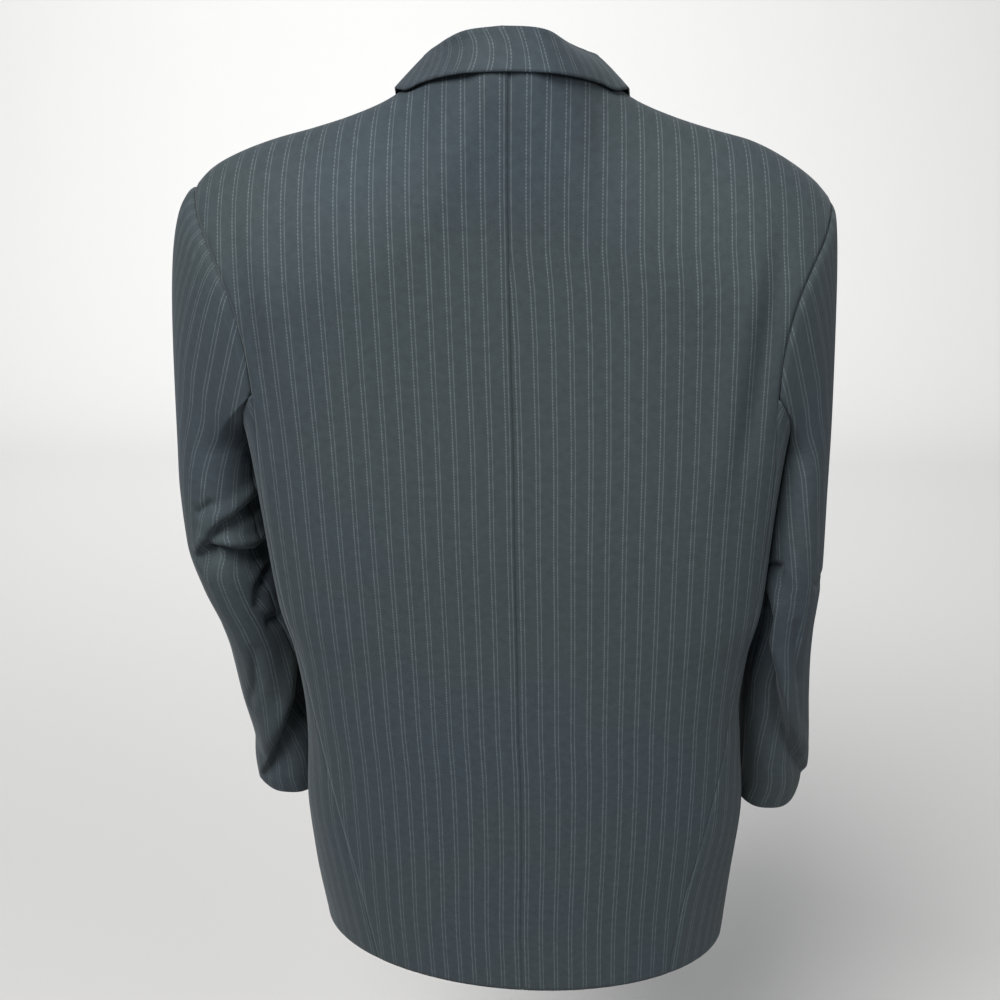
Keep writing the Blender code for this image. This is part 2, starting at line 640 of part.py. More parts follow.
def sleeve_section(side, along, turn):
    """Points round the arm at a place from 0, the top section, to 1, the cuff."""
    table = columns(SLEEVE_COLUMNS, SLEEVE_ROWS[side])
    steps = np.stack([table["level"], table["y"]], -1)
    length = np.concatenate([[0], np.cumsum(np.linalg.norm(np.diff(steps, axis=0), axis=1))])
    at = np.asarray(along, float)[:, None] * length[-1]
    value = {name: smooth(length, table[name], at) for name in table}
    angle = np.radians(turn)[None, :]
    centre = (value["outer"] + value["inner"]) / 2
    half = (value["outer"] - value["inner"]) / 2
    squarer = np.sign(np.cos(angle)) * np.abs(np.cos(angle)) ** value["power"]
    lateral = centre + half * squarer
    forward = value["half_depth"] * np.sin(angle)
    pitch = np.radians(value["pitch"])
    x = side * lateral
    y = value["y"] - forward * np.cos(pitch)
    z = value["level"] + forward * np.sin(pitch)
    return np.stack(np.broadcast_arrays(x, y, z), -1)


def crease(side, turn, level):
    """How far the sleeve's creases move its wall out or in."""
    moved = np.zeros(np.broadcast(turn, level).shape)
    for row in CREASE_ROWS:
        fold = dict(zip(CREASE_COLUMNS.split(), row))
        if fold["side"] != side:
            continue
        run = (fold["turn_b"] - fold["turn_a"]) * DEGREE
        drop = fold["level_b"] - fold["level_a"]
        length = math.hypot(run, drop)
        aside = ((turn - fold["turn_a"] + 90) % 360 - 90) * DEGREE
        below = level - fold["level_a"]
        along = (aside * run + below * drop) / length**2
        away = (aside * drop - below * run) / length
        fade = np.clip(1 - (2 * along - 1) ** 4, 0, 1)
        moved = moved + fold["depth"] * fade * np.exp(-((away / fold["width"]) ** 2))
    return moved


def keep_clear(side, net):
    """Moves points out of the body's side, so that the sleeve only lies against it. The
    rows next to the armhole keep their place."""
    y, level = net[..., 1], net[..., 2]
    rows = np.arange(net.shape[0])[:, None]
    eased = BODY_CLEARANCE - EASED_AT_ARMHOLE * np.clip(1 - rows / SLEEVE_CAP_ROWS, 0, 1)
    limit = body_half_width_at(y, level) + eased + side * section("drift", level)
    made = net.copy()
    made[..., 0] = side * np.maximum(side * net[..., 0], limit)
    made[0] = net[0]
    high = level > CLEAR_BELOW
    made[high] = net[high]
    return made


def sleeve_net(side, turn, cap_rows, arm_rows):
    """Rows from the armhole to the cuff, at these turns round the arm."""
    loop_turn, loop = armhole(side)
    start = np.stack([np.interp(turn, loop_turn, loop[:, i]) for i in range(3)], -1)
    top = sleeve_section(side, [0, 0.02], turn)
    first, second = top
    # The cap leaves the armhole outwards: a hair clear of the edge at the shoulder, and
    # a wall's thickness clear under the arm, where the two walls lie face to face.
    under = 0.5 - 0.5 * np.cos(np.radians(turn))
    step_out = SEAM_GAP + CLOTH * (0.55 + 0.9 * under)
    start[:, 0] += side * step_out
    start[:, 2] -= SEAM_GAP * under
    reach = np.linalg.norm(first - start, axis=-1, keepdims=True)
    leave = np.stack([side * (1.0 - 0.45 * under), 0 * under, -0.25 - 0.75 * under], -1)
    fullness = (SLEEVE_HEAD[side] * (1 - under) + UNDERARM_FULLNESS * under)[:, None]
    leave *= reach * fullness / np.linalg.norm(leave, axis=-1, keepdims=True)
    arrive = (second - first) / np.linalg.norm(second - first, axis=-1, keepdims=True) * reach
    k = np.linspace(0, 1, cap_rows + 1)[:-1, None, None]
    rise = k * k * (3 - 2 * k)
    cap = start + (first - start) * rise + k * (1 - k) ** 2 * leave + k * k * (k - 1) * arrive
    arm = sleeve_section(side, np.linspace(0, 1, arm_rows + 1), turn)
    net = np.concatenate([cap, arm])
    level = net[..., 2]
    normal = net_normals(net)
    net = net - side * normal * crease(side, turn[None, :], level)[..., None]
    return keep_clear(side, net)


def sleeve(side, finish):
    """A sleeve as one ring of points, cut at its two seams into a top and an under piece."""
    under = np.linspace(SEAM_FRONT_TURN, SEAM_BACK_TURN, UNDER_SLEEVE_COLUMNS + 1)
    top = np.linspace(SEAM_BACK_TURN, SEAM_FRONT_TURN + 360, TOP_SLEEVE_COLUMNS + 1)
    turn = np.concatenate([under[:-1], top[:-1]])
    net = sleeve_net(side, turn % 360, SLEEVE_CAP_ROWS, SLEEVE_ARM_ROWS)
    ring = np.concatenate([net[:, -1:], net, net[:, :2]], axis=1)
    normal = net_normals(ring)[:, 1:-1] * side
    along = np.gradient(ring, axis=1)[:, 1:-1]
    net = ring[:, 1:-1]
    away = np.cross(normal, np.gradient(net, axis=0))
    away *= np.sign((away * along).sum(-1))[..., None] / np.linalg.norm(away, axis=-1, keepdims=True)
    cut = UNDER_SLEEVE_COLUMNS
    for part, first, last in (("under", 0, cut), ("top", cut, len(turn))):
        points = net[:, first:last + 1].copy()
        points[:, 0] += away[:, first] * SLEEVE_SEAM_GAP
        points[:, -1] -= away[:, last] * SLEEVE_SEAM_GAP
        shell(f"sleeve_{part}_{SIDE_NAMES[side]}", points, normal[:, first:last + 1], finish)


# ---- collar and lapels -----------------------------------------------------------------
def roll_across(level):
    """How far the roll line is from the middle at this height."""
    top = float(ridge_level(NECK_X))
    return NECK_X - (NECK_X + LAP) * (top - level) / (top - BREAK)


def collar_lines():
    """The seam, fold and edge of the left half, a row for each section."""
    back = columns(COLLAR_COLUMNS, COLLAR_BACK_ROWS)
    lines = {}
    for part in ("seam", "fold", "edge"):
        lines[part] = [list(point) for point in zip(*(back[f"{part}_{axis}"] for axis in "xyz"))]
    lines["middle"] = []
    for fold, edge, seam in zip(lines["fold"], lines["edge"], lines["seam"]):
        fall = np.subtract(edge, fold)
        away = np.cross(fall, (-seam[1], seam[0], 0.0))
        away *= np.sign(away[2]) / np.linalg.norm(away)
        lines["middle"].append(np.add(fold, edge) / 2 + away * COLLAR_SWELL)
    drift = np.array([section("drift", 0.0), 0, 0])
    for row in COLLAR_FRONT_ROWS:
        part = dict(zip(COLLAR_FRONT_COLUMNS.split(), row))
        roll, out, inward = front_frame(1, roll_across(part["roll_z"]), part["roll_z"])
        fold = roll + out * ROLL_LIFT + inward * ROLL_INSET - drift
        lines["fold"].append(fold)
        lines["seam"].append(fold - out * part["stand"])
        for name, k in (("middle", 0.5), ("edge", 1.0)):
            across = roll_across(part["roll_z"]) * (1 - k) + part["edge_x"] * k
            level = part["roll_z"] * (1 - k) + part["edge_z"] * k
            spot, up, _ = front_frame(1, across, level)
            lines[name].append(spot + up * (2 * CLOTH + 3 * PLY_GAP) - drift)
    return {part: np.array(points) for part, points in lines.items()}


def collar_net(half_columns):
    """Rows from the neck seam up the stand, round the fold and down to the outer edge."""
    lines = collar_lines()
    rows = np.linspace(0, 1, len(lines["fold"]))
    at = np.linspace(-1, 1, 2 * half_columns + 1)
    line = {}
    for part, points in lines.items():
        point = np.stack([smooth(rows, points[:, i], np.abs(at)) for i in range(3)], -1)
        point[:, 0] *= np.sign(at)
        line[part] = point
    start, end = COLLAR_LEAN_FADE
    line["fold"][:, 0] += COLLAR_LEAN * (1 - ease((np.abs(at) - start) / (end - start)))
    drift = np.array([section("drift", 0.0), 0, 0])
    net = []
    for seam, fold, middle, edge in zip(*(line[part] for part in ("seam", "fold", "middle", "edge"))):
        stand = fold - seam
        fall = edge - fold
        out = fall - stand * np.dot(fall, stand) / np.dot(stand, stand)
        out /= np.linalg.norm(out)
        up = stand / np.linalg.norm(stand)
        centre = fold - up * ROLL_RADIUS + out * ROLL_RADIUS
        foot = centre - out * ROLL_RADIUS
        points = [seam + (foot - seam) * k for k in np.linspace(0, 1, COLLAR_STAND + 1)]
        for k in np.linspace(0, 1, COLLAR_ROLL + 1)[1:]:
            angle = math.pi * k * 0.9
            around = up * math.sin(angle) - out * math.cos(angle)
            points.append(centre + around * ROLL_RADIUS)
        last = points[-1]
        bend = 2 * middle - (last + edge) / 2
        for k in np.linspace(0, 1, COLLAR_FALL + 1)[1:]:
            points.append((1 - k) ** 2 * last + 2 * k * (1 - k) * bend + k * k * edge)
        net.append(np.array(points) + drift)
    return np.array(net).transpose(1, 0, 2)


def collar(finish):
    return wall("collar", collar_net(COLLAR_ACROSS), finish, (0, -1, 0.3))


def lapel(side, finish):
    """The turned-back part of the front, above its panel. The right one ends where the
    left front covers it."""
    table = columns(LAPEL_COLUMNS, LAPEL_ROWS)
    v = np.linspace(0 if side > 0 else RIGHT_LAPEL_START, 1, 13)
    u = np.linspace(0, 1, 7)
    rows = np.linspace(0, 1, len(LAPEL_ROWS))
    outer = np.stack([smooth(rows, table["across"], v), smooth(rows, table["level"], v)], -1)
    roll_start = np.array([-LAP + 0.003, BREAK + 0.006])
    inner = roll_start + (np.array(GORGE_TOP) - roll_start) * v[:, None]
    if side < 0:
        covered = LAPEL_COVER_GAP - roll_across(inner[:, 1])
        inner[:, 0] = np.maximum(inner[:, 0], covered)
    flat = inner[:, None] + (outer - inner)[:, None] * u[None, :, None]
    net, normal, _ = front_frame(side, flat[..., 0], flat[..., 1])
    bulge = np.sin(math.pi * (0.15 + 0.75 * u)) * np.sin(math.pi * (0.08 + 0.8 * v))[:, None]
    lift = CLOTH + PLY_GAP + LAPEL_RISE * bulge
    return wall(f"lapel_{SIDE_NAMES[side]}", net + normal * lift[..., None], finish, (0, -1, 0))


# ---- pockets and buttons ---------------------------------------------------------------
def laid_piece(name, side, start, size, slant, finish):
    """A flat piece made from the front panel's points, moved out."""
    u = np.linspace(0, 1, 8)
    v = np.linspace(0, 1, 4)
    across = start[0] + size[0] * u[None, :]
    level = start[1] - size[1] * v[:, None] + slant * u[None, :]
    net, normal, _ = front_frame(side, across, level)
    return wall(name, net + normal * (CLOTH + PLY_GAP), finish, (0, -1, 0))


def button(number, level, finish):
    """A turned button with a raised rim, on the left front's centre line."""
    centre = front_surface(1, 0.0, level)
    below = front_surface(1, 0.0, level - 0.01)
    beside = front_surface(1, 0.01, level)
    normal = np.cross(beside - centre, below - centre)
    normal *= -np.sign(normal[1]) / np.linalg.norm(normal)
    seat = centre + normal * (CLOTH / 2 + PLY_GAP)
    radius = BUTTON_DIAMETER / 2
    mesh = bmesh.new()
    rings = []
    for reach, rise in BUTTON_PROFILE:
        ring = []
        for i in range(BUTTON_SIDES):
            angle = 2 * math.pi * i / BUTTON_SIDES
            x, y = (reach * radius * turned for turned in (math.cos(angle), math.sin(angle)))
            ring.append(mesh.verts.new((x, y, rise * BUTTON_HEIGHT)))
        rings.append(ring)
    for lower, upper in zip(rings, rings[1:]):
        for i in range(BUTTON_SIDES):
            j = (i + 1) % BUTTON_SIDES
            mesh.faces.new((lower[i], lower[j], upper[j], upper[i]))
    mesh.faces.new(rings[0][::-1])
    middle = mesh.verts.new((0, 0, BUTTON_DISH * BUTTON_HEIGHT))
    for i in range(BUTTON_SIDES):
        mesh.faces.new((middle, rings[-1][i], rings[-1][(i + 1) % BUTTON_SIDES]))
    data = bpy.data.meshes.new(f"button_{number}")
    mesh.to_mesh(data)
    mesh.free()
    data.shade_smooth()
    data.materials.append(finish)
    made = bpy.data.objects.new(f"button_{number}", data)
    bpy.context.scene.collection.objects.link(made)
    turn = Vector(normal).to_track_quat("Z", "Y").to_matrix().to_4x4()
    made.matrix_world = Matrix.Translation(Vector(seat)) @ turn
    return made


SIDE_NAMES = {1: "left", -1: "right"}


def build():
    """All pieces of the coat."""
    for old in list(bpy.data.objects):
        bpy.data.objects.remove(old, do_unlink=True)
    cloth = material("suiting", CLOTH_COLOUR, 0.82)
    under = material("collar_cloth", UNDERCOLLAR_COLOUR, 0.82)
    horn = material("button_horn", BUTTON_COLOUR, 0.35)
    for side in SIDE_NAMES:
        back_panel(side, cloth)
        front_panel(side, cloth)
        side_panel(side, cloth)
        sleeve(side, cloth)
        lapel(side, cloth)
        laid_piece(f"flap_{SIDE_NAMES[side]}", side, FLAP_START, FLAP_SIZE, FLAP_SLANT, cloth)
    laid_piece("breast_welt", 1, WELT_START, WELT_SIZE, WELT_SLANT, cloth)
    collar(under)
    for number, level in enumerate(BUTTON_LEVELS, start=1):
        button(number, level, horn)


build()
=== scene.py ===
"""The looks of the three-button sport coat: fine cloth, seams, creases, stripes and light."""

import math
from functools import partial

import bmesh
import bpy
import numpy as np
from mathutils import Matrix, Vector


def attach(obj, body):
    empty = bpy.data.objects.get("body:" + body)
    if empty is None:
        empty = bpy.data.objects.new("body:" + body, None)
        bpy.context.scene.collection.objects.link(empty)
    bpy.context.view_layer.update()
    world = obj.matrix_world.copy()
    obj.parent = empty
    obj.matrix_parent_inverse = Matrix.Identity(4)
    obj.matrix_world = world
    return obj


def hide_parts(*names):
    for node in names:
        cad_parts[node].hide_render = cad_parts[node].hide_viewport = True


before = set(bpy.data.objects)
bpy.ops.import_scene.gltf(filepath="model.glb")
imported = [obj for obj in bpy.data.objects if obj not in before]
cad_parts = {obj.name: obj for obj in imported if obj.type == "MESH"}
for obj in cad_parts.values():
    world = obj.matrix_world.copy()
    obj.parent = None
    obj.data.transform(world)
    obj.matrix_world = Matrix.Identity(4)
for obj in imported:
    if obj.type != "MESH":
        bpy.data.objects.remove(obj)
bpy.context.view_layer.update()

# ---- driving sizes
CLOTH = 0.0018  # thickness of one wall of cloth
SEAM_GAP = 0.0004  # clear space between two pieces at a seam
PLY_GAP = 0.0007  # clear space between a piece and the panel that it lies on
HEM = -0.811  # height of the hem
SHOULDER_X = 0.247  # from the middle to the shoulder point, where the sleeve starts
NECK_X = 0.0642  # from the middle to the side of the neck, where the collar sits
BUTTON_LEVELS = (-0.375, -0.48, -0.585)
BUTTON_DIAMETER = 0.02
BUTTON_HEIGHT = 0.0036
LAP = 0.019  # each front runs this far past the centre front
BREAK = -0.35  # height at which the lapels turn back
CUTAWAY_RADIUS = 0.115  # the round lower corner of each front
CORNER_SWEEP = 0.98  # how nearly that corner turns level at the hem
CORNER_START = 0.7  # share of a front's rows that lie above the corner
FLAP_SIZE = (0.1, 0.052)
FLAP_START = (0.058, -0.56)  # upper inner corner, in the front view
FLAP_SLANT = -0.004
WELT_SIZE = (0.088, 0.024)
WELT_START = (0.078, -0.222)
WELT_SLANT = 0.01
SHOULDER_DROP = {1: 0.0, -1: 0.01}  # how much lower each shoulder point lies
SHOULDER_DROP_ACROSS = (0.175, 0.26)  # across which that sets in
SHOULDER_DROP_LEVELS = (-0.2, -0.095)
HEM_TILT = 0.034  # the hem's rise towards the wearer's left, a share of the distance
HEM_TILT_LEVEL = -0.62  # from which that sets in
LAP_LIFT = 0.0017  # the left front lies this far out where it laps, the right one in
LAP_FADE = (0.03, 0.075)  # across which that fades out, from the centre front

# The body's level sections. half_width is at widest_y, back_y and front_y are on the
# centre lines, and drift is how far the coat hangs towards the wearer's left.
SECTION_COLUMNS = "level half_width back_y front_y widest_y back_power front_power drift"
SECTION_ROWS = (
    (0.06, 0.262, 0.078, -0.06, 0.0, 2.8, 2.0, -0.003),
    (0.0, 0.262, 0.081, -0.085, 0.0, 2.8, 2.0, -0.003),
    (-0.06, 0.262, 0.081, -0.118, 0.0, 2.8, 2.0, -0.003),
    (-0.12, 0.26, 0.08, -0.145, 0.004, 2.8, 2.0, -0.004),
    (-0.2, 0.238, 0.08, -0.166, 0.01, 2.8, 1.9, -0.006),
    (-0.27, 0.217, 0.08, -0.175, 0.014, 2.8, 1.9, -0.008),
    (-0.34, 0.211, 0.079, -0.176, 0.012, 2.7, 1.9, -0.009),
    (-0.425, 0.206, 0.074, -0.174, 0.004, 2.6, 1.9, -0.011),
    (-0.473, 0.198, 0.071, -0.172, -0.005, 2.5, 1.9, -0.012),
    (-0.525, 0.195, 0.068, -0.172, -0.014, 2.4, 1.9, -0.013),
    (-0.573, 0.1985, 0.065, -0.174, -0.025, 2.3, 2.0, -0.015),
    (-0.66, 0.2065, 0.058, -0.184, -0.043, 2.2, 2.0, -0.016),
    (-0.73, 0.2045, 0.053, -0.194, -0.055, 2.1, 2.0, -0.0155),
    (-0.811, 0.2, 0.048, -0.204, -0.066, 2.0, 2.0, -0.0175),
)

# The line over the top of the shoulder. Inside NECK_X it is the side of the neck column,
# which only shapes the cloth next to the collar.
RIDGE_COLUMNS = "across level y"
RIDGE_ROWS = (
    (0.0, 0.11, -0.002), (0.01, 0.1085, -0.002), (0.03, 0.07, -0.002),
    (0.05, 0.033, -0.002), (0.0642, 0.009, -0.002), (0.09, -0.012, -0.004),
    (0.12, -0.025, -0.007), (0.15, -0.0345, -0.01), (0.183, -0.0435, -0.013),
    (0.216, -0.056, -0.017), (0.233, -0.0655, -0.019), (0.247, -0.079, -0.02),
    (0.262, -0.099, -0.02),
)
BACK_ROUNDING = 0.12  # the back reaches its full depth this far below the ridge
FRONT_ROUNDING = 0.16

NECK_CURVE_COLUMNS = "across level"
NECK_CURVE_ROWS = ((0.0, 0.0135), (0.03, 0.0125), (0.05, 0.0105), (0.0642, 0.009))

# Outer edge of the back and of the front: the armhole down to SIDE_START, then a seam.
BACK_EDGE_COLUMNS = "level across"
BACK_EDGE_ROWS = (
    (-0.079, 0.247), (-0.1, 0.2365), (-0.12, 0.2255), (-0.14, 0.2165), (-0.16, 0.21),
    (-0.18, 0.206), (-0.2, 0.2035), (-0.23, 0.2025), (-0.3, 0.205), (-0.4, 0.2),
    (-0.5, 0.186), (-0.57, 0.178), (-0.66, 0.163), (-0.73, 0.15), (-0.811, 0.14),
)
FRONT_EDGE_ROWS = (
    (-0.079, 0.247), (-0.1, 0.234), (-0.12, 0.22), (-0.14, 0.209), (-0.16, 0.201),
    (-0.18, 0.1955), (-0.205, 0.1925), (-0.232, 0.192), (-0.3, 0.185), (-0.4, 0.178),
    (-0.5, 0.168), (-0.6, 0.169), (-0.7, 0.173), (-0.811, 0.17),
)
PANEL_ROWS = 25  # rows of the solids' backs and fronts
SIDE_START_ROW = 9  # the one of them where the armhole ends and the seam starts
SIDE_JOIN = -0.3  # from here down all panels share their rows' heights
UNDERARM_DIP = 0.032
UNDERARM_TURNS = (100, 260)  # the turns round the sleeve that meet the side panel's top

# Large soft folds: the cloth moves out (+) or in (-) by depth along a line on the back.
BACK_FOLD_COLUMNS = "side top_x top_z bottom_x bottom_z width depth"
BACK_FOLD_ROWS = (
    (-1, 0.197, -0.115, 0.178, -0.27, 0.01, -0.005),
    (-1, 0.178, -0.13, 0.16, -0.29, 0.013, 0.003),
    (1, 0.205, -0.11, 0.188, -0.24, 0.012, -0.0035),
    (1, 0.185, -0.12, 0.17, -0.26, 0.014, 0.0022),
)
BACK_FOLD_FADE = 0.55  # share of its line from the middle at which a fold has faded

# Sleeve sections, square to the arm: outer and inner are distances from the middle plane,
# and a power under 1 makes the section squarer than an ellipse.
SLEEVE_COLUMNS = "level outer inner y half_depth pitch power"
SLEEVE_ROWS = {
    1: (
        (-0.285, 0.2797, 0.204, -0.04, 0.074, 0, 1.0),
        (-0.33, 0.2815, 0.206, -0.039, 0.072, 0, 1.0),
        (-0.375, 0.2805, 0.206, -0.04, 0.069, 4, 0.98),
        (-0.41, 0.273, 0.203, -0.045, 0.066, 12, 0.95),
        (-0.445, 0.2622, 0.199, -0.053, 0.063, 17, 0.92),
        (-0.48, 0.2578, 0.194, -0.063, 0.061, 18, 0.9),
        (-0.54, 0.2562, 0.19, -0.082, 0.059, 18, 0.86),
        (-0.605, 0.2525, 0.184, -0.104, 0.057, 18, 0.8),
        (-0.64, 0.2562, 0.184, -0.114, 0.056, 18, 0.76),
        (-0.661, 0.2572, 0.182, -0.121, 0.054, 18, 0.74),
    ),
    -1: (
        (-0.285, 0.27, 0.212, -0.045, 0.076, 0, 1.0),
        (-0.33, 0.2715, 0.212, -0.043, 0.073, 0, 1.0),
        (-0.375, 0.2735, 0.212, -0.042, 0.07, 3, 0.98),
        (-0.41, 0.2752, 0.212, -0.045, 0.066, 10, 0.95),
        (-0.445, 0.2752, 0.212, -0.052, 0.063, 14, 0.92),
        (-0.48, 0.277, 0.212, -0.061, 0.061, 15, 0.9),
        (-0.54, 0.2835, 0.215, -0.078, 0.059, 16, 0.86),
        (-0.605, 0.293, 0.221, -0.098, 0.057, 18, 0.8),
        (-0.635, 0.2968, 0.223, -0.109, 0.056, 20, 0.76),
        (-0.659, 0.293, 0.221, -0.116, 0.055, 24, 0.74),
    ),
}
DEGREE = 0.00095  # metres round a sleeve for each degree of turn
SEAM_BACK_TURN = 216  # the sleeve's two seams, in the same degrees
SEAM_FRONT_TURN = 125
SLEEVE_HEAD = {1: 0.42, -1: 0.12}  # how far the sleeve stands out past the shoulder
UNDERARM_FULLNESS = 0.5  # and how far under the arm
SLEEVE_OUT = (0.1, 0.6)  # its first row's way out, in cloths: at the shoulder, more below
# The way in which it leaves the armhole: at the shoulder, and what is added under the arm.
SLEEVE_WAY = ((1.0, -0.45), (0.0, 0.0), (-0.25, -0.75))
CLEAR_BELOW = -0.21  # the sleeve is kept off the body from this height down
CLEAR_FADE = 0.02  # height over which that sets in
BODY_CLEARANCE = 0.0034  # between the middles of the sleeve's and the body's walls
EASED_AT_ARMHOLE = 0.0006  # that much less next to the armhole

# Half of the collar, from the centre back to its front end: the seam along the neck, the
# fold on top, and the outer edge of the turned-down part.
COLLAR_COLUMNS = "seam_x seam_y seam_z fold_x fold_y fold_z edge_x edge_y edge_z"
COLLAR_SWELL = 0.0022  # how far the turned-down part curves out between its edges
COLLAR_BACK_ROWS = (
    (0.0, 0.075, 0.016, 0.0, 0.0665, 0.0385, 0.0, 0.0834, 0.0114),
    (0.02, 0.0705, 0.0155, 0.018, 0.06, 0.0368, 0.0267, 0.0788, 0.0103),
    (0.038, 0.0585, 0.0145, 0.034, 0.044, 0.0325, 0.0483, 0.0616, 0.0064),
    (0.051, 0.038, 0.0135, 0.046, 0.024, 0.0272, 0.0641, 0.0378, 0.0012),
    (0.059, 0.015, 0.013, 0.0555, 0.003, 0.0222, 0.078, 0.0215, -0.0046),
    (0.0602, -0.007, 0.0095, 0.06, -0.013, 0.0172, 0.0865, 0.0, -0.0045),
)
COLLAR_LEAN = 0.0042  # how far the fold stands towards the wearer's left at the back
COLLAR_LEAN_FADE = (0.25, 0.62)  # along each half, from the centre back to its end
# The rest of the collar follows the roll line down the front: the height on that line,
# how far the stand reaches in, and where the outer edge lies in the front view.
COLLAR_FRONT_COLUMNS = "roll_z stand edge_x edge_z"
COLLAR_FRONT_ROWS = (
    (-0.004, 0.011, 0.088, -0.019), (-0.02, 0.009, 0.097, -0.036),
    (-0.038, 0.007, 0.107, -0.056), (-0.056, 0.005, 0.117, -0.078),
)
ROLL_INSET = 0.0053  # the collar's fold lies this far inside the roll line
ROLL_LIFT = 0.0047
ROLL_RADIUS = 0.003  # of the fold itself
ROLL_TURN = 0.9  # share of half a turn that it bends round

# Lapel in the front view: its turned-back edge from the break up to the notch.
LAPEL_COLUMNS = "across level"
LAPEL_ROWS = (
    (-0.017, -0.35), (0.022, -0.3), (0.062, -0.24), (0.103, -0.17), (0.133, -0.105),
)
LAPEL_START = (-LAP + 0.003, BREAK + 0.006)
GORGE_TOP = (0.052, -0.06)
RIGHT_LAPEL_START = 0.19  # share of the right lapel that the left front covers
LAPEL_COVER_GAP = 0.009
LAPEL_RISE = 0.0035  # how far the lapel stands off the front at its middle
LAPEL_ARCH = ((0.15, 0.75), (0.08, 0.8))  # start and span of that arch across and up

# ---- sizes of the fine cloth
FINE_CLOTH = 0.0014  # thickness of the fine shells
BACK_NET = (84, 230)  # columns and rows of each fine net
FRONT_NET = (76, 220)
SIDE_NET = (30, 180)
SLEEVE_NET = (180, 44, 260)  # round the arm, rows of the cap, rows of the arm
COLLAR_ACROSS = 60
COLLAR_STAND = 6
COLLAR_ROLL = 8
COLLAR_FALL = 14
LAPEL_NET = (40, 90)
LAID_NET = (60, 30)
STRIPE_PITCH = 0.0135
LEFT_STRIPE = 0.0044  # from the centre seam to the first stripe, and on the right by level
RIGHT_STRIPE_LEVELS = (-0.3, -0.18, -0.14, -0.11)
RIGHT_STRIPES = (0.0048, 0.0043, 0.003, 0.0006)
# How far the sleeve's stripes run outward on their way down.
LEAN_LEVELS = (-0.66, -0.4, -0.3, -0.13, -0.08)
LEANS = (-0.088, -0.072, -0.053, 0.0, 0.0)
SLEEVE_OUTSIDE = 360  # turn of the line from which the sleeve's stripes are counted
PLANES_FROM = (12, 50)  # the turns from there over which they come to upright planes
PLANES_END = 0.55  # share of the sleeve head from which they leave them again

# Creases of the fine sleeves: the wall moves out (+) or in (-) by depth along a line of
# places, with a width to the left of the line's run and another to its right. A place is
# a turn in degrees from the outside, by way of the front, and a level.
CREASE_COLUMNS = "side left right depth line"
FINE_CREASES = (
    # left sleeve: beside the body, above the elbow, at it, and the long fold to the cuff
    (1, 0.012, 0.012, 0.0045, ((240, -0.215), (228, -0.25), (214, -0.29))),
    (1, 0.008, 0.005, 0.0035, ((200, -0.322), (232, -0.331), (262, -0.341), (290, -0.362))),
    (1, 0.0035, 0.01, -0.0085, ((203, -0.334), (235, -0.3436), (263, -0.3523), (290, -0.376))),
    (1, 0.005, 0.004, -0.0035, ((262, -0.326), (290, -0.34))),
    (1, 0.007, 0.006, 0.004, ((300, -0.376), (283, -0.362), (258, -0.362), (223, -0.372),
        (201, -0.3725))),
    (1, 0.003, 0.018, -0.011, ((196, -0.38), (223, -0.3817), (258, -0.3705), (283, -0.371),
        (304, -0.386))),
    (1, 0.004, 0.01, -0.0065, ((194, -0.4), (229, -0.4167), (240, -0.437))),
    (1, 0.008, 0.005, -0.004, ((236, -0.452), (212, -0.458))),
    (1, 0.012, 0.007, 0.0045, ((196, -0.44), (210, -0.495), (236, -0.545), (268, -0.582),
        (302, -0.628))),
    (1, 0.0028, 0.028, -0.013, ((184, -0.44), (190, -0.4685), (202, -0.5056), (224, -0.5501),
        (257, -0.5879), (288, -0.635), (318, -0.6728))),
    (1, 0.006, 0.01, -0.0035, ((262, -0.47), (276, -0.52), (300, -0.56))),
    (1, 0.011, 0.011, -0.005, ((20, -0.398), (75, -0.406), (130, -0.408))),
    (1, 0.011, 0.011, 0.003, ((30, -0.432), (125, -0.428))),
    # right sleeve: beside the body, at the elbow, and the long fold to the cuff
    (-1, 0.012, 0.012, 0.0045, ((240, -0.215), (228, -0.25), (214, -0.29))),
    (-1, 0.004, 0.008, -0.006, ((196, -0.392), (222, -0.389), (250, -0.381))),
    (-1, 0.005, 0.006, -0.0035, ((298, -0.399), (322, -0.405), (345, -0.411))),
    (-1, 0.012, 0.006, 0.005, ((214, -0.388), (246, -0.42), (252, -0.462), (268, -0.496),
        (286, -0.56), (322, -0.62))),
    (-1, 0.0026, 0.036, -0.0135, ((196, -0.385), (222, -0.4021), (243, -0.432), (243, -0.46),
        (258, -0.4963), (270, -0.534), (279, -0.565), (300, -0.6065), (320, -0.6379),
        (342, -0.665))),
    (-1, 0.006, 0.008, -0.0035, ((276, -0.43), (284, -0.47), (300, -0.52))),
    (-1, 0.011, 0.011, -0.0045, ((20, -0.4), (75, -0.404), (130, -0.405))),
    (-1, 0.011, 0.011, 0.003, ((30, -0.434), (125, -0.428))),
)

# Grooves at the seams: how deep they are and how far from the seam they fade.
CENTRE_SEAM = (0.0005, 0.0018)
SLEEVE_SEAM = (0.0009, 0.0022)
SLEEVE_TOP_SEAM = (0.0012, 0.003)
PANEL_SEAM_DEPTH = 0.00035
PANEL_SEAM_WIDTH = 0.0022
ARMHOLE_SEAM_EXTRA = 0.00055  # how much deeper a panel's seam is at the armhole
ARMHOLE_SEAM_FADE = 0.04

# Where the distance round the body is worked out, up to the chest.
ARC_TOP = -0.17
ARC_END = 0.995  # share of the half width at which it stops counting the depth
ARC_STEPS = np.linspace(0, 0.262, 132)
ARC_LEVELS = np.linspace(HEM, ARC_TOP, 40)

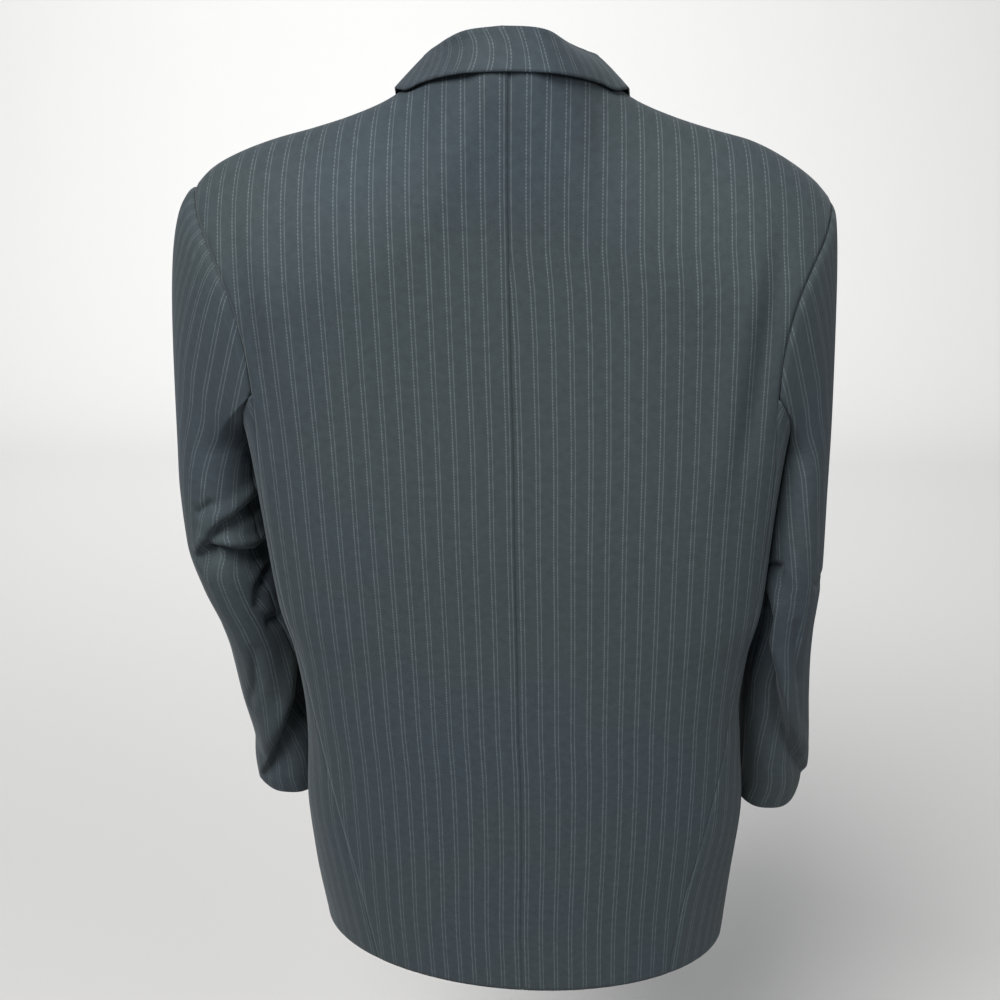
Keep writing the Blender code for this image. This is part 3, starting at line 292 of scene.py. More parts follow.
# A button from its foot over the rim to the middle: reach in shares of its radius, rise in
# shares of its height.
BUTTON_EDGE = ((0.7, 0), (0.86, 0.1), (0.95, 0.3), (1, 0.6), (0.99, 0.8), (0.94, 0.94),
    (0.87, 1), (0.79, 0.99), (0.7, 0.86), (0.62, 0.72), (0.5, 0.64), (0, 0.62))
BUTTON_FACE_START = 8  # row of that table where the dished face begins
BUTTON_RINGS = 90
BUTTON_SECTORS = 96
BUTTON_CENTRE = 0.00002  # radius of the last ring
HOLE_OUT = 0.0018  # from the button's middle to each of its four holes
HOLE_RADIUS = 0.0009
HOLE_FADE = 0.0003  # from a hole's edge to its full depth
HOLE_DEPTH = 0.0012
THREAD = 0.00045
THREAD_SECTORS = 12
THREAD_ROWS = 17
THREAD_SLANT = 0.707  # the threads cross from hole to hole
THREAD_RISE = 0.0007  # of the thread over the button's face
THREAD_SINK = 0.0004  # and how far its ends go into the holes
HOLE_LENGTH = 0.022  # of a buttonhole
HOLE_HALF = 0.001  # half of its width
HOLE_SETBACK = 0.003  # its end past the button's middle, towards the edge
HOLE_STITCH = 0.0008  # radius of the stitching round it
HOLE_STITCHES = 48
HOLE_BEAT = 0.00012  # how far single stitches rise and sink

# ---- sizes of the studio
FLOOR_LEVEL = -1.45
FLOOR_FRONT = 6.0
FLOOR_SIDES = (-9.0, 9.0)
BEND_START = -3.2  # where the floor begins to bend up, and the radius of the bend
BEND = 1.5
WALL_TOP = 7.0
LIGHT_COLUMNS = "name spot target size power colour"
LIGHT_ROWS = (
    ("key", (1.1, 2.3, 2.45), (0, 0, -0.4), (1.7, 1.7), 450, (1.0, 0.99, 0.97)),
    ("fill", (-2.0, 2.2, 1.2), (0, 0, -0.4), (1.8, 1.8), 80, (0.98, 0.99, 1.0)),
    ("backdrop", (1.1, -1.2, 2.2), (0.2, -4.7, 0.8), (2.4, 2.0), 125, (1, 1, 1)),
)
SKY_COLOUR = (0.98, 0.99, 1.0, 1)
SKY_STRENGTH = 0.36
SENSOR = 36.0
CAMERA_SPOT = (-0.02888, 0.98459, 0.054)
CAMERA_FOCUS = 1260 / 1000  # focal length in shares of the picture's width
CAMERA_DOWN = 21.5
CAMERA_YAW = 2.0

# ---- the form, as the solids have it
def columns(names, rows):
    """The table's columns by name."""
    return dict(zip(names.split(), np.array(rows, float).T))


def by_name(names, rows, side=None):
    """The table's rows by name, all of them or only one side's."""
    made = [dict(zip(names.split(), row)) for row in rows]
    return [row for row in made if side is None or row["side"] == side]


def smooth(keys, values, at):
    """A smooth curve through the rows that never overshoots them."""
    keys, values, at = (np.asarray(x, float) for x in (keys, values, at))
    if keys[0] > keys[-1]:
        keys, values = keys[::-1], values[::-1]
    step = np.diff(keys)
    slope = np.diff(values) / step
    tangent = np.zeros_like(values)
    same = slope[:-1] * slope[1:] > 0
    weight_a = 2 * step[1:] + step[:-1]
    weight_b = step[1:] + 2 * step[:-1]
    safe_a = np.where(same, slope[:-1], 1.0)
    safe_b = np.where(same, slope[1:], 1.0)
    mean = (weight_a + weight_b) / (weight_a / safe_a + weight_b / safe_b)
    tangent[1:-1] = np.where(same, mean, 0.0)
    tangent[0], tangent[-1] = slope[0], slope[-1]
    at = np.clip(at, keys[0], keys[-1])
    cell = np.clip(np.searchsorted(keys, at, side="right") - 1, 0, len(step) - 1)
    width = step[cell]
    t = (at - keys[cell]) / width
    rise = t * t * (3 - 2 * t)
    leave = t * (1 - t) ** 2
    arrive = t * t * (t - 1)
    start, end = values[cell], values[cell + 1]
    slopes = leave * tangent[cell] + arrive * tangent[cell + 1]
    return start + (end - start) * rise + width * slopes


def walked(points):
    """The distance along a line of points to each of them."""
    return np.concatenate([[0], np.cumsum(np.linalg.norm(np.diff(points, axis=0), axis=1))])


SECTIONS = columns(SECTION_COLUMNS, SECTION_ROWS)
RIDGE = columns(RIDGE_COLUMNS, RIDGE_ROWS)
NECK_CURVE = columns(NECK_CURVE_COLUMNS, NECK_CURVE_ROWS)
BACK_EDGE = columns(BACK_EDGE_COLUMNS, BACK_EDGE_ROWS)
FRONT_EDGE = columns(BACK_EDGE_COLUMNS, FRONT_EDGE_ROWS)
SIDE_NAMES = {1: "left", -1: "right"}


def section(name, level):
    """One column of the body's sections at this level."""
    return smooth(SECTIONS["level"], SECTIONS[name], level)


def unit(way):
    """The same directions with length 1."""
    return way / np.linalg.norm(way, axis=-1, keepdims=True)


def back_or_front(name, level, back):
    """The back's or the front's value of the sections at this level."""
    return np.where(back, section(f"back_{name}", level), section(f"front_{name}", level))


def ridge_level(across):
    return smooth(RIDGE["across"], RIDGE["level"], np.abs(across))


def ridge_y(across):
    return smooth(RIDGE["across"], RIDGE["y"], np.abs(across))


def rounding(below_ridge, reach):
    """0 at the top of the shoulder, 1 where the panel has its full depth."""
    k = np.clip(below_ridge / reach, 0, 1)
    return np.sqrt(1 - (1 - k) ** 2)


def fold_depth(side, across, level):
    """How far the back's soft folds move the cloth."""
    moved = np.zeros(np.broadcast(across, level).shape)
    for fold in by_name(BACK_FOLD_COLUMNS, BACK_FOLD_ROWS, side):
        k = (level - fold["top_z"]) / (fold["bottom_z"] - fold["top_z"])
        line = fold["top_x"] + k * (fold["bottom_x"] - fold["top_x"])
        fade = np.exp(-(((k - 0.5) / BACK_FOLD_FADE) ** 4))
        moved = moved + fold["depth"] * fade * np.exp(-(((across - line) / fold["width"]) ** 2))
    return moved


def plan_y(across, level, back):
    """y of the level section, before the shoulder rounds it."""
    k = np.clip(np.abs(across) / section("half_width", level), 0, 1)
    power = back_or_front("power", level, back)
    middle = section("widest_y", level)
    return middle + (back_or_front("y", level, back) - middle) * (1 - k**power) ** (1 / power)


def ease(k):
    """From 0 to 1 with a soft start and end."""
    k = np.clip(k, 0, 1)
    return k * k * (3 - 2 * k)


def hung(side, across, level):
    """The height at which a point hangs: the right shoulder slopes more than the left one,
    and the hem is a little lower on the right."""
    near, far = SHOULDER_DROP_ACROSS
    low, high = SHOULDER_DROP_LEVELS
    drop = SHOULDER_DROP[side] * ease((np.abs(across) - near) / (far - near))
    drop = drop * ease((level - low) / (high - low))
    tilt = HEM_TILT * side * across * ease((HEM_TILT_LEVEL - level) / (HEM_TILT_LEVEL - HEM))
    return level - drop + tilt


def placed(side, across, level, full_y, span):
    """A point of the wall, rounded off towards the shoulder's ridge over this span."""
    start = ridge_y(across)
    y = start + (full_y - start) * rounding(ridge_level(across) - level, span)
    x = side * across + section("drift", level)
    return np.stack(np.broadcast_arrays(x, y, hung(side, across, level)), -1)


def panel_point(side, across, level, back):
    """The middle of the wall, across metres from the centre line of the back or front."""
    across, level = np.asarray(across, float), np.asarray(level, float)
    span = BACK_ROUNDING if back else FRONT_ROUNDING
    point = placed(side, across, level, plan_y(across, level, back), span)
    if back:
        point[..., 1] += fold_depth(side, across, level)
    return point


def side_point(side, turn, level):
    """A point on the level section: turn runs from 0 at the back to pi at the front."""
    back = turn < math.pi / 2
    power = back_or_front("power", level, back)
    reach = back_or_front("y", level, back)
    middle = section("widest_y", level)
    across = section("half_width", level) * np.sin(turn) ** (2 / power)
    full_y = middle + (reach - middle) * np.abs(np.cos(turn)) ** (2 / power)
    return placed(side, across, level, full_y, np.where(back, BACK_ROUNDING, FRONT_ROUNDING))


def turn_at(across, level, back):
    """The turn at which the level section is this far across."""
    part = np.clip(across / section("half_width", level), 0, 1)
    turn = np.arcsin(part ** (back_or_front("power", level, back) / 2))
    return turn if back else math.pi - turn


def body_half_width_at(y, level):
    """How far the body reaches sideways at this y."""
    middle = section("widest_y", level)
    power = back_or_front("power", level, y > middle)
    k = np.clip(np.abs((y - middle) / (back_or_front("y", level, y > middle) - middle)), 0, 1)
    return section("half_width", level) * (1 - k**power) ** (1 / power)


def net_normals(net):
    """Square to the net at each of its points."""
    along = np.gradient(net, axis=1)
    down = np.gradient(net, axis=0)
    return unit(np.cross(down, along))


def spread(rows, bend=0.4):
    """Row positions from 0 to 1, close together near 0 and then even."""
    k = np.linspace(0, 1, rows + 1)
    scale = 1 / (2 * bend - bend * bend)
    start = bend * bend * scale
    return np.where(k < bend, scale * k * k, start + 2 * scale * bend * (k - bend))


def patch(top, bottom, near, far, u, v):
    """Points between four edges, each given at u or v, in the (across, level) plane."""
    u = u[None, :, None]
    v = v[:, None, None]
    between = (1 - v) * top[None] + v * bottom[None]
    beside = (1 - u) * near[:, None] + u * far[:, None]
    upper = (1 - u) * top[0] + u * top[-1]
    lower = (1 - u) * bottom[0] + u * bottom[-1]
    return between + beside - ((1 - v) * upper + v * lower)


SHOULDER_LEVEL = float(ridge_level(SHOULDER_X))
SIDE_START = SHOULDER_LEVEL + float(spread(PANEL_ROWS)[SIDE_START_ROW]) * (HEM - SHOULDER_LEVEL)


def edge_across(edge, level):
    """How far from the centre line a panel's outer edge is."""
    return smooth(edge["level"], edge["across"], level)


def outer_edge(edge, v):
    """Points down the armhole and the seam below it."""
    level = SHOULDER_LEVEL + v * (HEM - SHOULDER_LEVEL)
    return np.stack([edge_across(edge, level), level], -1)


def back_net(side):
    """Fine points of half of the back, with their places across and down."""
    cols, rows = BACK_NET
    u = np.linspace(0, 1, cols + 1)
    v = spread(rows)
    across = u * SHOULDER_X
    neck = smooth(NECK_CURVE["across"], NECK_CURVE["level"], across)
    top = np.stack([across, np.where(across < NECK_X, neck, ridge_level(across))], -1)
    near = np.stack([np.zeros_like(v), top[0, 1] + v * (HEM - top[0, 1])], -1)
    far = outer_edge(BACK_EDGE, v)
    far[0] = top[-1]
    bottom = np.stack([u * far[-1, 0], np.full_like(u, HEM)], -1)
    flat = patch(top, bottom, near, far, u, v)
    return flat, panel_point(side, flat[..., 0], flat[..., 1], True)


def front_edge_line(v):
    """The roll line down to the break, the lapped edge, and the round lower corner."""
    start = np.array([NECK_X + SEAM_GAP, float(ridge_level(NECK_X + SEAM_GAP))])
    corner_top = HEM + CUTAWAY_RADIUS
    angle = np.clip((v - CORNER_START) / (1 - CORNER_START), 0, 1) * math.asin(CORNER_SWEEP)
    straight = start[1] + np.clip(v / CORNER_START, 0, 1) * (corner_top - start[1])
    level = straight - CUTAWAY_RADIUS * np.sin(angle) / CORNER_SWEEP
    rolled = start[0] - (start[0] + LAP) * (start[1] - level) / (start[1] - BREAK)
    across = np.maximum(rolled, -LAP) + CUTAWAY_RADIUS * (1 - np.cos(angle))
    return np.stack([across, level], -1)


def lap_offset(side, across):
    """The left front lies over the right one where they lap."""
    return side * LAP_LIFT * ease((LAP_FADE[1] - across) / (LAP_FADE[1] - LAP_FADE[0]))


def front_surface(side, across, level):
    """The front panel's middle, with its lap."""
    point = panel_point(side, across, level, False)
    point[..., 1] -= lap_offset(side, np.asarray(across))
    return point


def front_frame(side, across, level):
    """Points of the front, the way out of it, and the way towards the middle."""
    step = 0.001
    across, level = np.broadcast_arrays(np.asarray(across, float), np.asarray(level, float))
    point = front_surface(side, across, level)
    beside = front_surface(side, across + step, level) - point
    below = front_surface(side, across, level - step) - point
    normal = unit(np.cross(beside, below))
    return point, normal * -np.sign(normal[..., 1:2]), -unit(beside)


def front_net(side):
    """Fine points of one front, with their places across and down."""
    cols, rows = FRONT_NET
    u = np.linspace(0, 1, cols + 1)
    v = spread(rows)
    near = front_edge_line(v)
    far = outer_edge(FRONT_EDGE, v)
    across = near[0, 0] + u * (SHOULDER_X - near[0, 0])
    top = np.stack([across, ridge_level(across)], -1)
    near[0] = top[0]
    far[0] = top[-1]
    bottom = np.stack([near[-1, 0] + u * (far[-1, 0] - near[-1, 0]), np.full_like(u, HEM)], -1)
    flat = patch(top, bottom, near, far, u, v)
    return flat, front_surface(side, flat[..., 0], flat[..., 1])


def side_net(side, k, rows):
    """Points of the side panel: k runs from the back seam to the front seam. Its top row
    is the armhole's lower edge."""
    k = np.asarray(k, float)[None, :]
    rows = SIDE_START + np.linspace(0, 1, rows + 1)[:, None] * (HEM - SIDE_START)
    top = SIDE_START - UNDERARM_DIP * np.sin(math.pi * k)
    upper = top + (SIDE_JOIN - top) * (SIDE_START - rows) / (SIDE_START - SIDE_JOIN)
    level = np.where(rows > SIDE_JOIN, upper, rows)
    start = turn_at(edge_across(BACK_EDGE, level), level, True)
    end = turn_at(edge_across(FRONT_EDGE, level), level, False)
    return side_point(side, start + k * (end - start), level)


def armhole(side):
    """The armhole from the shoulder point by way of the front, as turns and points."""
    steps = np.linspace(0, 1, 60)
    front_level = SHOULDER_LEVEL + steps * (SIDE_START - SHOULDER_LEVEL)
    front = panel_point(side, edge_across(FRONT_EDGE, front_level), front_level, False)
    under = side_net(side, steps[::-1], 1)[0]
    back_level = SIDE_START + steps * (SHOULDER_LEVEL - SIDE_START)
    back = panel_point(side, edge_across(BACK_EDGE, back_level), back_level, True)
    loop = np.concatenate([front[:-1], under[:-1], back])
    length = walked(loop)
    ends = [0, length[len(front) - 1], length[len(front) + len(under) - 2], length[-1]]
    turn = np.interp(length, ends, [0, *UNDERARM_TURNS, 360])
    return turn, loop


def sleeve_section(side, along, turn):
    """Points round the arm at a place from 0, the top section, to 1, the cuff."""
    table = columns(SLEEVE_COLUMNS, SLEEVE_ROWS[side])
    length = walked(np.stack([table["level"], table["y"]], -1))
    at = np.asarray(along, float)[:, None] * length[-1]
    value = {name: smooth(length, table[name], at) for name in table}
    angle = np.radians(turn)[None, :]
    centre = (value["outer"] + value["inner"]) / 2
    reach = (value["outer"] - value["inner"]) / 2
    squarer = np.sign(np.cos(angle)) * np.abs(np.cos(angle)) ** value["power"]
    forward = value["half_depth"] * np.sin(angle)
    pitch = np.radians(value["pitch"])
    x = side * (centre + reach * squarer)
    y = value["y"] - forward * np.cos(pitch)
    z = value["level"] + forward * np.sin(pitch)
    return np.stack(np.broadcast_arrays(x, y, z), -1)


def beside(place, line):
    """The distance from a line of places, positive to its left, and the share of it passed."""
    steps = np.linalg.norm(np.diff(line, axis=0), axis=1)
    passed = 0.0
    nearest = np.full(place.shape[:-1], np.inf)
    away = np.zeros_like(nearest)
    along = np.zeros_like(nearest)
    for start, end, step in zip(line, line[1:], steps):
        run = (end - start) / step
        offset = place - start
        k = np.clip(offset @ run, 0, step)
        left = run[0] * offset[..., 1] - run[1] * offset[..., 0]
        distance = np.linalg.norm(offset - k[..., None] * run, axis=-1)
        closer = distance < nearest
        nearest = np.where(closer, distance, nearest)
        away = np.where(closer, np.sign(left) * distance, away)
        along = np.where(closer, (passed + k) / steps.sum(), along)
        passed += step
    return away, along


def crease(side, turn, level):
    """How far the sleeve's creases move its wall out or in."""
    turn, level = np.broadcast_arrays(turn, level)
    place = np.stack([turn * DEGREE, level], -1)
    moved = np.zeros(level.shape)
    for fold in by_name(CREASE_COLUMNS, FINE_CREASES, side):
        away, along = beside(place, np.array(fold["line"]) * (DEGREE, 1))
        width = np.where(away > 0, fold["left"], fold["right"])
        fade = np.clip(1 - (2 * along - 1) ** 4, 0, 1)
        moved = moved + fold["depth"] * fade * np.exp(-((away / width) ** 2))
    return moved


def keep_clear(side, net, cap_rows):
    """Moves points out of the body's side, so that the sleeve only lies against it. The
    rows next to the armhole keep their place."""
    y, level = net[..., 1], net[..., 2]
    down = np.clip(np.arange(net.shape[0])[:, None] / cap_rows, 0, 1)
    limit = body_half_width_at(y, level) + (BODY_CLEARANCE - EASED_AT_ARMHOLE) * down ** 0.5
    limit = limit + side * section("drift", level)
    made = net.copy()
    pushed = side * np.maximum(side * net[..., 0], limit)
    blend = np.clip((CLEAR_BELOW - level) / CLEAR_FADE + 0.5, 0, 1)
    made[..., 0] += (pushed - net[..., 0]) * blend
    made[0] = net[0]
    return made


def sleeve_net(side, turn, cap_rows, arm_rows):
    """Rows from the armhole to the cuff, at these turns round the arm."""
    loop_turn, loop = armhole(side)
    start = np.stack([np.interp(turn, loop_turn, loop[:, i]) for i in range(3)], -1)
    top = sleeve_section(side, [0, 0.02], turn)
    first, second = top
    under = 0.5 - 0.5 * np.cos(np.radians(turn))
    start[:, 0] += side * CLOTH * (SLEEVE_OUT[0] + SLEEVE_OUT[1] * under)
    reach = np.linalg.norm(first - start, axis=-1, keepdims=True)
    leave = np.stack([start_way + more * under for start_way, more in SLEEVE_WAY], -1)
    leave[:, 0] *= side
    fullness = (SLEEVE_HEAD[side] * (1 - under) + UNDERARM_FULLNESS * under)[:, None]
    leave = unit(leave) * reach * fullness
    arrive = unit(second - first) * reach
    k = np.linspace(0, 1, cap_rows + 1)[:-1, None, None]
    rise = k * k * (3 - 2 * k)
    cap = start + (first - start) * rise + k * (1 - k) ** 2 * leave + k * k * (k - 1) * arrive
    arm = sleeve_section(side, np.linspace(0, 1, arm_rows + 1), turn)
    net = np.concatenate([cap, arm])
    normal = ring_normals(net, side)
    net = net + normal * crease(side, turn[None, :], net[..., 2])[..., None]
    return keep_clear(side, net, cap_rows)


def ring_normals(net, side):
    """Normals of a net that closes on itself, facing out."""
    ring = np.concatenate([net[:, -1:], net, net[:, :1]], axis=1)
    return net_normals(ring)[:, 1:-1] * -side


def roll_across(level):
    """How far the roll line is from the middle at this height."""
    top = float(ridge_level(NECK_X))
    return NECK_X - (NECK_X + LAP) * (top - level) / (top - BREAK)


COLLAR_DRIFT = np.array([section("drift", 0.0), 0, 0])


def collar_lines():
    """The seam, fold and edge of the left half, a row for each section."""
    back = columns(COLLAR_COLUMNS, COLLAR_BACK_ROWS)
    lines = {}
    for part in ("seam", "fold", "edge"):
        lines[part] = [list(point) for point in zip(*(back[f"{part}_{axis}"] for axis in "xyz"))]
    lines["middle"] = []
    for fold, edge, seam in zip(lines["fold"], lines["edge"], lines["seam"]):
        fall = np.subtract(edge, fold)
        away = unit(np.cross(fall, (-seam[1], seam[0], 0.0)))
        swell = away * np.sign(away[2]) * COLLAR_SWELL
        lines["middle"].append(np.add(fold, edge) / 2 + swell)
    for part in by_name(COLLAR_FRONT_COLUMNS, COLLAR_FRONT_ROWS):
        roll, out, inward = front_frame(1, roll_across(part["roll_z"]), part["roll_z"])
        fold = roll + out * ROLL_LIFT + inward * ROLL_INSET - COLLAR_DRIFT
        lines["fold"].append(fold)
        lines["seam"].append(fold - out * part["stand"])
        for name, k in (("middle", 0.5), ("edge", 1.0)):
            across = roll_across(part["roll_z"]) * (1 - k) + part["edge_x"] * k
            level = part["roll_z"] * (1 - k) + part["edge_z"] * k
            spot, up, _ = front_frame(1, across, level)
            lines[name].append(spot + up * (2 * CLOTH + 3 * PLY_GAP) - COLLAR_DRIFT)
    return {part: np.array(points) for part, points in lines.items()}


def collar_net(half_columns):
    """Rows from the neck seam up the stand, round the fold and down to the outer edge."""
    lines = collar_lines()
    rows = np.linspace(0, 1, len(lines["fold"]))
    at = np.linspace(-1, 1, 2 * half_columns + 1)
    line = {}
    for part, points in lines.items():
        point = np.stack([smooth(rows, points[:, i], np.abs(at)) for i in range(3)], -1)
        point[:, 0] *= np.sign(at)
        line[part] = point
    start, end = COLLAR_LEAN_FADE
    line["fold"][:, 0] += COLLAR_LEAN * (1 - ease((np.abs(at) - start) / (end - start)))
    net = []
    parts = ("seam", "fold", "middle", "edge")
    for seam, fold, middle, edge in zip(*(line[part] for part in parts)):
        stand = fold - seam
        fall = edge - fold
        out = unit(fall - stand * np.dot(fall, stand) / np.dot(stand, stand))
        up = unit(stand)
        centre = fold - up * ROLL_RADIUS + out * ROLL_RADIUS
        foot = centre - out * ROLL_RADIUS
        points = [seam + (foot - seam) * k for k in np.linspace(0, 1, COLLAR_STAND + 1)]
        for k in np.linspace(0, 1, COLLAR_ROLL + 1)[1:]:
            angle = math.pi * ROLL_TURN * k
            around = up * math.sin(angle) - out * math.cos(angle)
            points.append(centre + around * ROLL_RADIUS)
        last = points[-1]
        bend = 2 * middle - (last + edge) / 2
        for k in np.linspace(0, 1, COLLAR_FALL + 1)[1:]:
            points.append((1 - k) ** 2 * last + 2 * k * (1 - k) * bend + k * k * edge)
        net.append(np.array(points) + COLLAR_DRIFT)
    return np.array(net).transpose(1, 0, 2)


# ---- materials
TWILL = 0.0011  # from one rib of the twill to the next
DASH = 0.0026  # from one stitch of the dotted line to the next
COOL = (0.0170, 0.0230, 0.0285, 1)
WARM = (0.0180, 0.0237, 0.0258, 1)
STRIPE = (0.066, 0.080, 0.087, 1)
# The lines of one stripe, in shares of the stripe repeat.
STRIPE_LINE_COLUMNS = "centre width strength dotted"
STRIPE_LINES = ((0.39, 0.050, 0.62, True), (0.61, 0.042, 0.43, False))


class Nodes:
    """Short ways to add and join the shader nodes of a new material."""

    def __init__(self, name):
        self.made = bpy.data.materials.new(name)
        self.made.use_nodes = True
        self.tree = self.made.node_tree
        self.tree.nodes.clear()

    def put(self, node, values):
        """Sets or joins the node's inputs."""
        for key, value in values.items():
            if isinstance(value, bpy.types.NodeSocket):
                self.tree.links.new(value, node.inputs[key])
            else:
                node.inputs[key].default_value = value
        return node

    def add(self, kind, values=(), **settings):
        node = self.tree.nodes.new(kind)
        for name, value in settings.items():
            setattr(node, name, value)
        return self.put(node, dict(values))

    def math(self, operation, a, b=0.0, c=0.0):
        return self.add("ShaderNodeMath", {0: a, 1: b, 2: c}, operation=operation).outputs[0]

    def mix(self, factor, a, b):
        node = self.add("ShaderNodeMix", data_type="RGBA")
        return self.put(node, {0: factor, 6: a, 7: b}).outputs[2]

    def fade(self, value, low, high, out_low=0.0, out_high=1.0):
        keys = {0: value, 1: low, 2: high, 3: out_low, 4: out_high}
        return self.add("ShaderNodeMapRange", keys, interpolation_type="SMOOTHSTEP").outputs[0]

    def noise(self, spot, scale, detail, distortion=0.0):
        keys = {"Vector": spot, "Scale": scale, "Detail": detail, "Distortion": distortion}
        return self.add("ShaderNodeTexNoise", keys).outputs[0]

    def spot(self):
        """Where the shaded point is, in metres."""
        return self.add("ShaderNodeTexCoord").outputs["Object"]

    def finish(self, values):
        """The surface with these inputs, as a material."""
        shader = self.add("ShaderNodeBsdfPrincipled", values)
        self.add("ShaderNodeOutputMaterial", {0: shader.outputs[0]})
        return self.made


def suiting(name):
    """Worsted twill in slate grey, with a dotted and a solid line side by side as its
    stripe. The UV map holds metres across and down the cloth."""
    n = Nodes(name)
    add, less, times = (partial(n.math, name) for name in ("ADD", "SUBTRACT", "MULTIPLY"))
    uv = n.add("ShaderNodeUVMap", uv_map="cloth").outputs[0]
    split = n.add("ShaderNodeSeparateXYZ", {0: uv})
    u, v = split.outputs[0], split.outputs[1]
    patches = n.fade(n.noise(n.spot(), 5.0, 3.0), 0.35, 0.65)
    fine = n.noise(uv, 900.0, 2.0)
    slub = n.noise(uv, 160.0, 3.0)
    across = times(u, 2 * math.pi / TWILL)
    down = times(v, 2 * math.pi / TWILL)
    rib = n.math("SINE", add(across, down))
    thread = n.math("SINE", less(across, down))
    weave = add(times(rib, 0.35), times(thread, 0.12))
    tone = add(times(fine, 0.35), times(slub, 0.45))
    tone = add(tone, n.math("MULTIPLY_ADD", weave, 0.14, 0.60))
    ground = n.add("ShaderNodeVectorMath", {0: n.mix(patches, COOL, WARM)}, operation="SCALE")
    n.put(ground, {"Scale": tone})
    place = n.math("FRACT", n.math("DIVIDE", u, STRIPE_PITCH))
    lines = []
    for part in by_name(STRIPE_LINE_COLUMNS, STRIPE_LINES):
        away = n.math("ABSOLUTE", less(place, part["centre"]))
        line = n.fade(away, part["width"] * 0.35, part["width"], 1.0, 0.0)
        if part["dotted"]:
            beat = n.math("FRACT", n.math("DIVIDE", v, DASH))
            from_middle = n.math("ABSOLUTE", less(beat, 0.5))
            line = times(line, n.fade(from_middle, 0.22, 0.40, 1.0, 0.25))
        lines.append(times(line, part["strength"]))
    both = n.math("MAXIMUM", lines[0], lines[1])
    worn = times(both, n.fade(slub, 0.3, 0.7, 0.65, 1.0))
    height = n.math("MULTIPLY_ADD", both, 0.5, n.math("MULTIPLY_ADD", fine, 0.5, weave))
    bump = n.add("ShaderNodeBump", {"Height": height, "Strength": 0.35, "Distance": 0.00025})
    return n.finish({
        "Base Color": n.mix(worn, ground.outputs[0], STRIPE), "Normal": bump.outputs[0],
        "Roughness": n.math("MULTIPLY_ADD", fine, 0.12, 0.70), "Specular IOR Level": 0.08,
        "Sheen Weight": 0.04, "Sheen Roughness": 0.40, "Sheen Tint": (0.85, 0.93, 1.0, 1.0),
    })


def horn(name):
    """Dark mottled button."""
    n = Nodes(name)
    swirl = n.noise(n.spot(), 160.0, 4.0, 1.4)
    colour = n.mix(n.fade(swirl, 0.35, 0.7), (0.010, 0.010, 0.012, 1), (0.070, 0.060, 0.052, 1))
    rough = n.math("MULTIPLY_ADD", swirl, 0.15, 0.24)
    return n.finish({"Base Color": colour, "Roughness": rough, "Specular IOR Level": 0.5})


def cord(name, colour, roughness):
    """Dull thread of nearly one colour."""
    n = Nodes(name)
    low, high = (tuple(k * c for c in colour) + (1,) for k in (0.99, 1.01))
    soft = n.mix(n.noise(n.spot(), 3.0, 2.0), low, high)
    return n.finish({"Base Color": soft, "Roughness": roughness, "Specular IOR Level": 0.1})


def backdrop(name, far, near):
    """Pale grey with painted shade: darker on the near floor than far off and up the wall behind.
    """
    n = Nodes(name)
    # painted shade: how far towards the near floor a point lies, where the grey is darker
    close = n.fade(n.add("ShaderNodeSeparateXYZ", {0: n.spot()}).outputs[1], -4.0, -0.4)
    grey = n.mix(close, (far, far, far, 1), (near, near, near, 1))
    return n.finish({"Base Color": grey, "Roughness": 0.9, "Specular IOR Level": 0.05})


CLOTH_LOOK = suiting("suiting_fine")
HORN_LOOK = horn("horn_fine")
THREAD_LOOK = cord("thread_fine", (0.030, 0.034, 0.042), 0.75)


# ---- making pieces
MIN_WIDTH = 0.02  # least width that is worked out for a sheet
MIN_FILL = 0.3  # and the least share of its width times length that is cloth


def place_mesh(name, net, faces, finish):
    """A smooth mesh on a net of points, riding with the coat."""
    data = bpy.data.meshes.new(name)
    data.vertices.add(net.size // 3)
    data.vertices.foreach_set("co", net.ravel())
    data.loops.add(faces.size)
    data.loops.foreach_set("vertex_index", faces.ravel())
    data.polygons.add(len(faces))
    data.polygons.foreach_set("loop_start", np.arange(len(faces)) * 4)
    data.update(calc_edges=True)
    data.materials.append(finish)
    data.shade_smooth()
    made = bpy.data.objects.new(name, data)
    bpy.context.scene.collection.objects.link(made)
    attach(made, "root")
    return made


def net_area(net):
    """Area of a net of points."""
    a = net[1:, 1:] - net[:-1, :-1]
    b = net[1:, :-1] - net[:-1, 1:]
    return float(np.linalg.norm(np.cross(a, b), axis=-1).sum() / 2)


def lengths(net, axis):
    """Distances along the net's rows (axis 1) or columns (axis 0)."""
    step = np.linalg.norm(np.diff(net, axis=axis), axis=-1)
    zero = np.zeros_like(step[:, :1] if axis == 1 else step[:1])
    return np.cumsum(np.concatenate([zero, step], axis=axis), axis=axis)


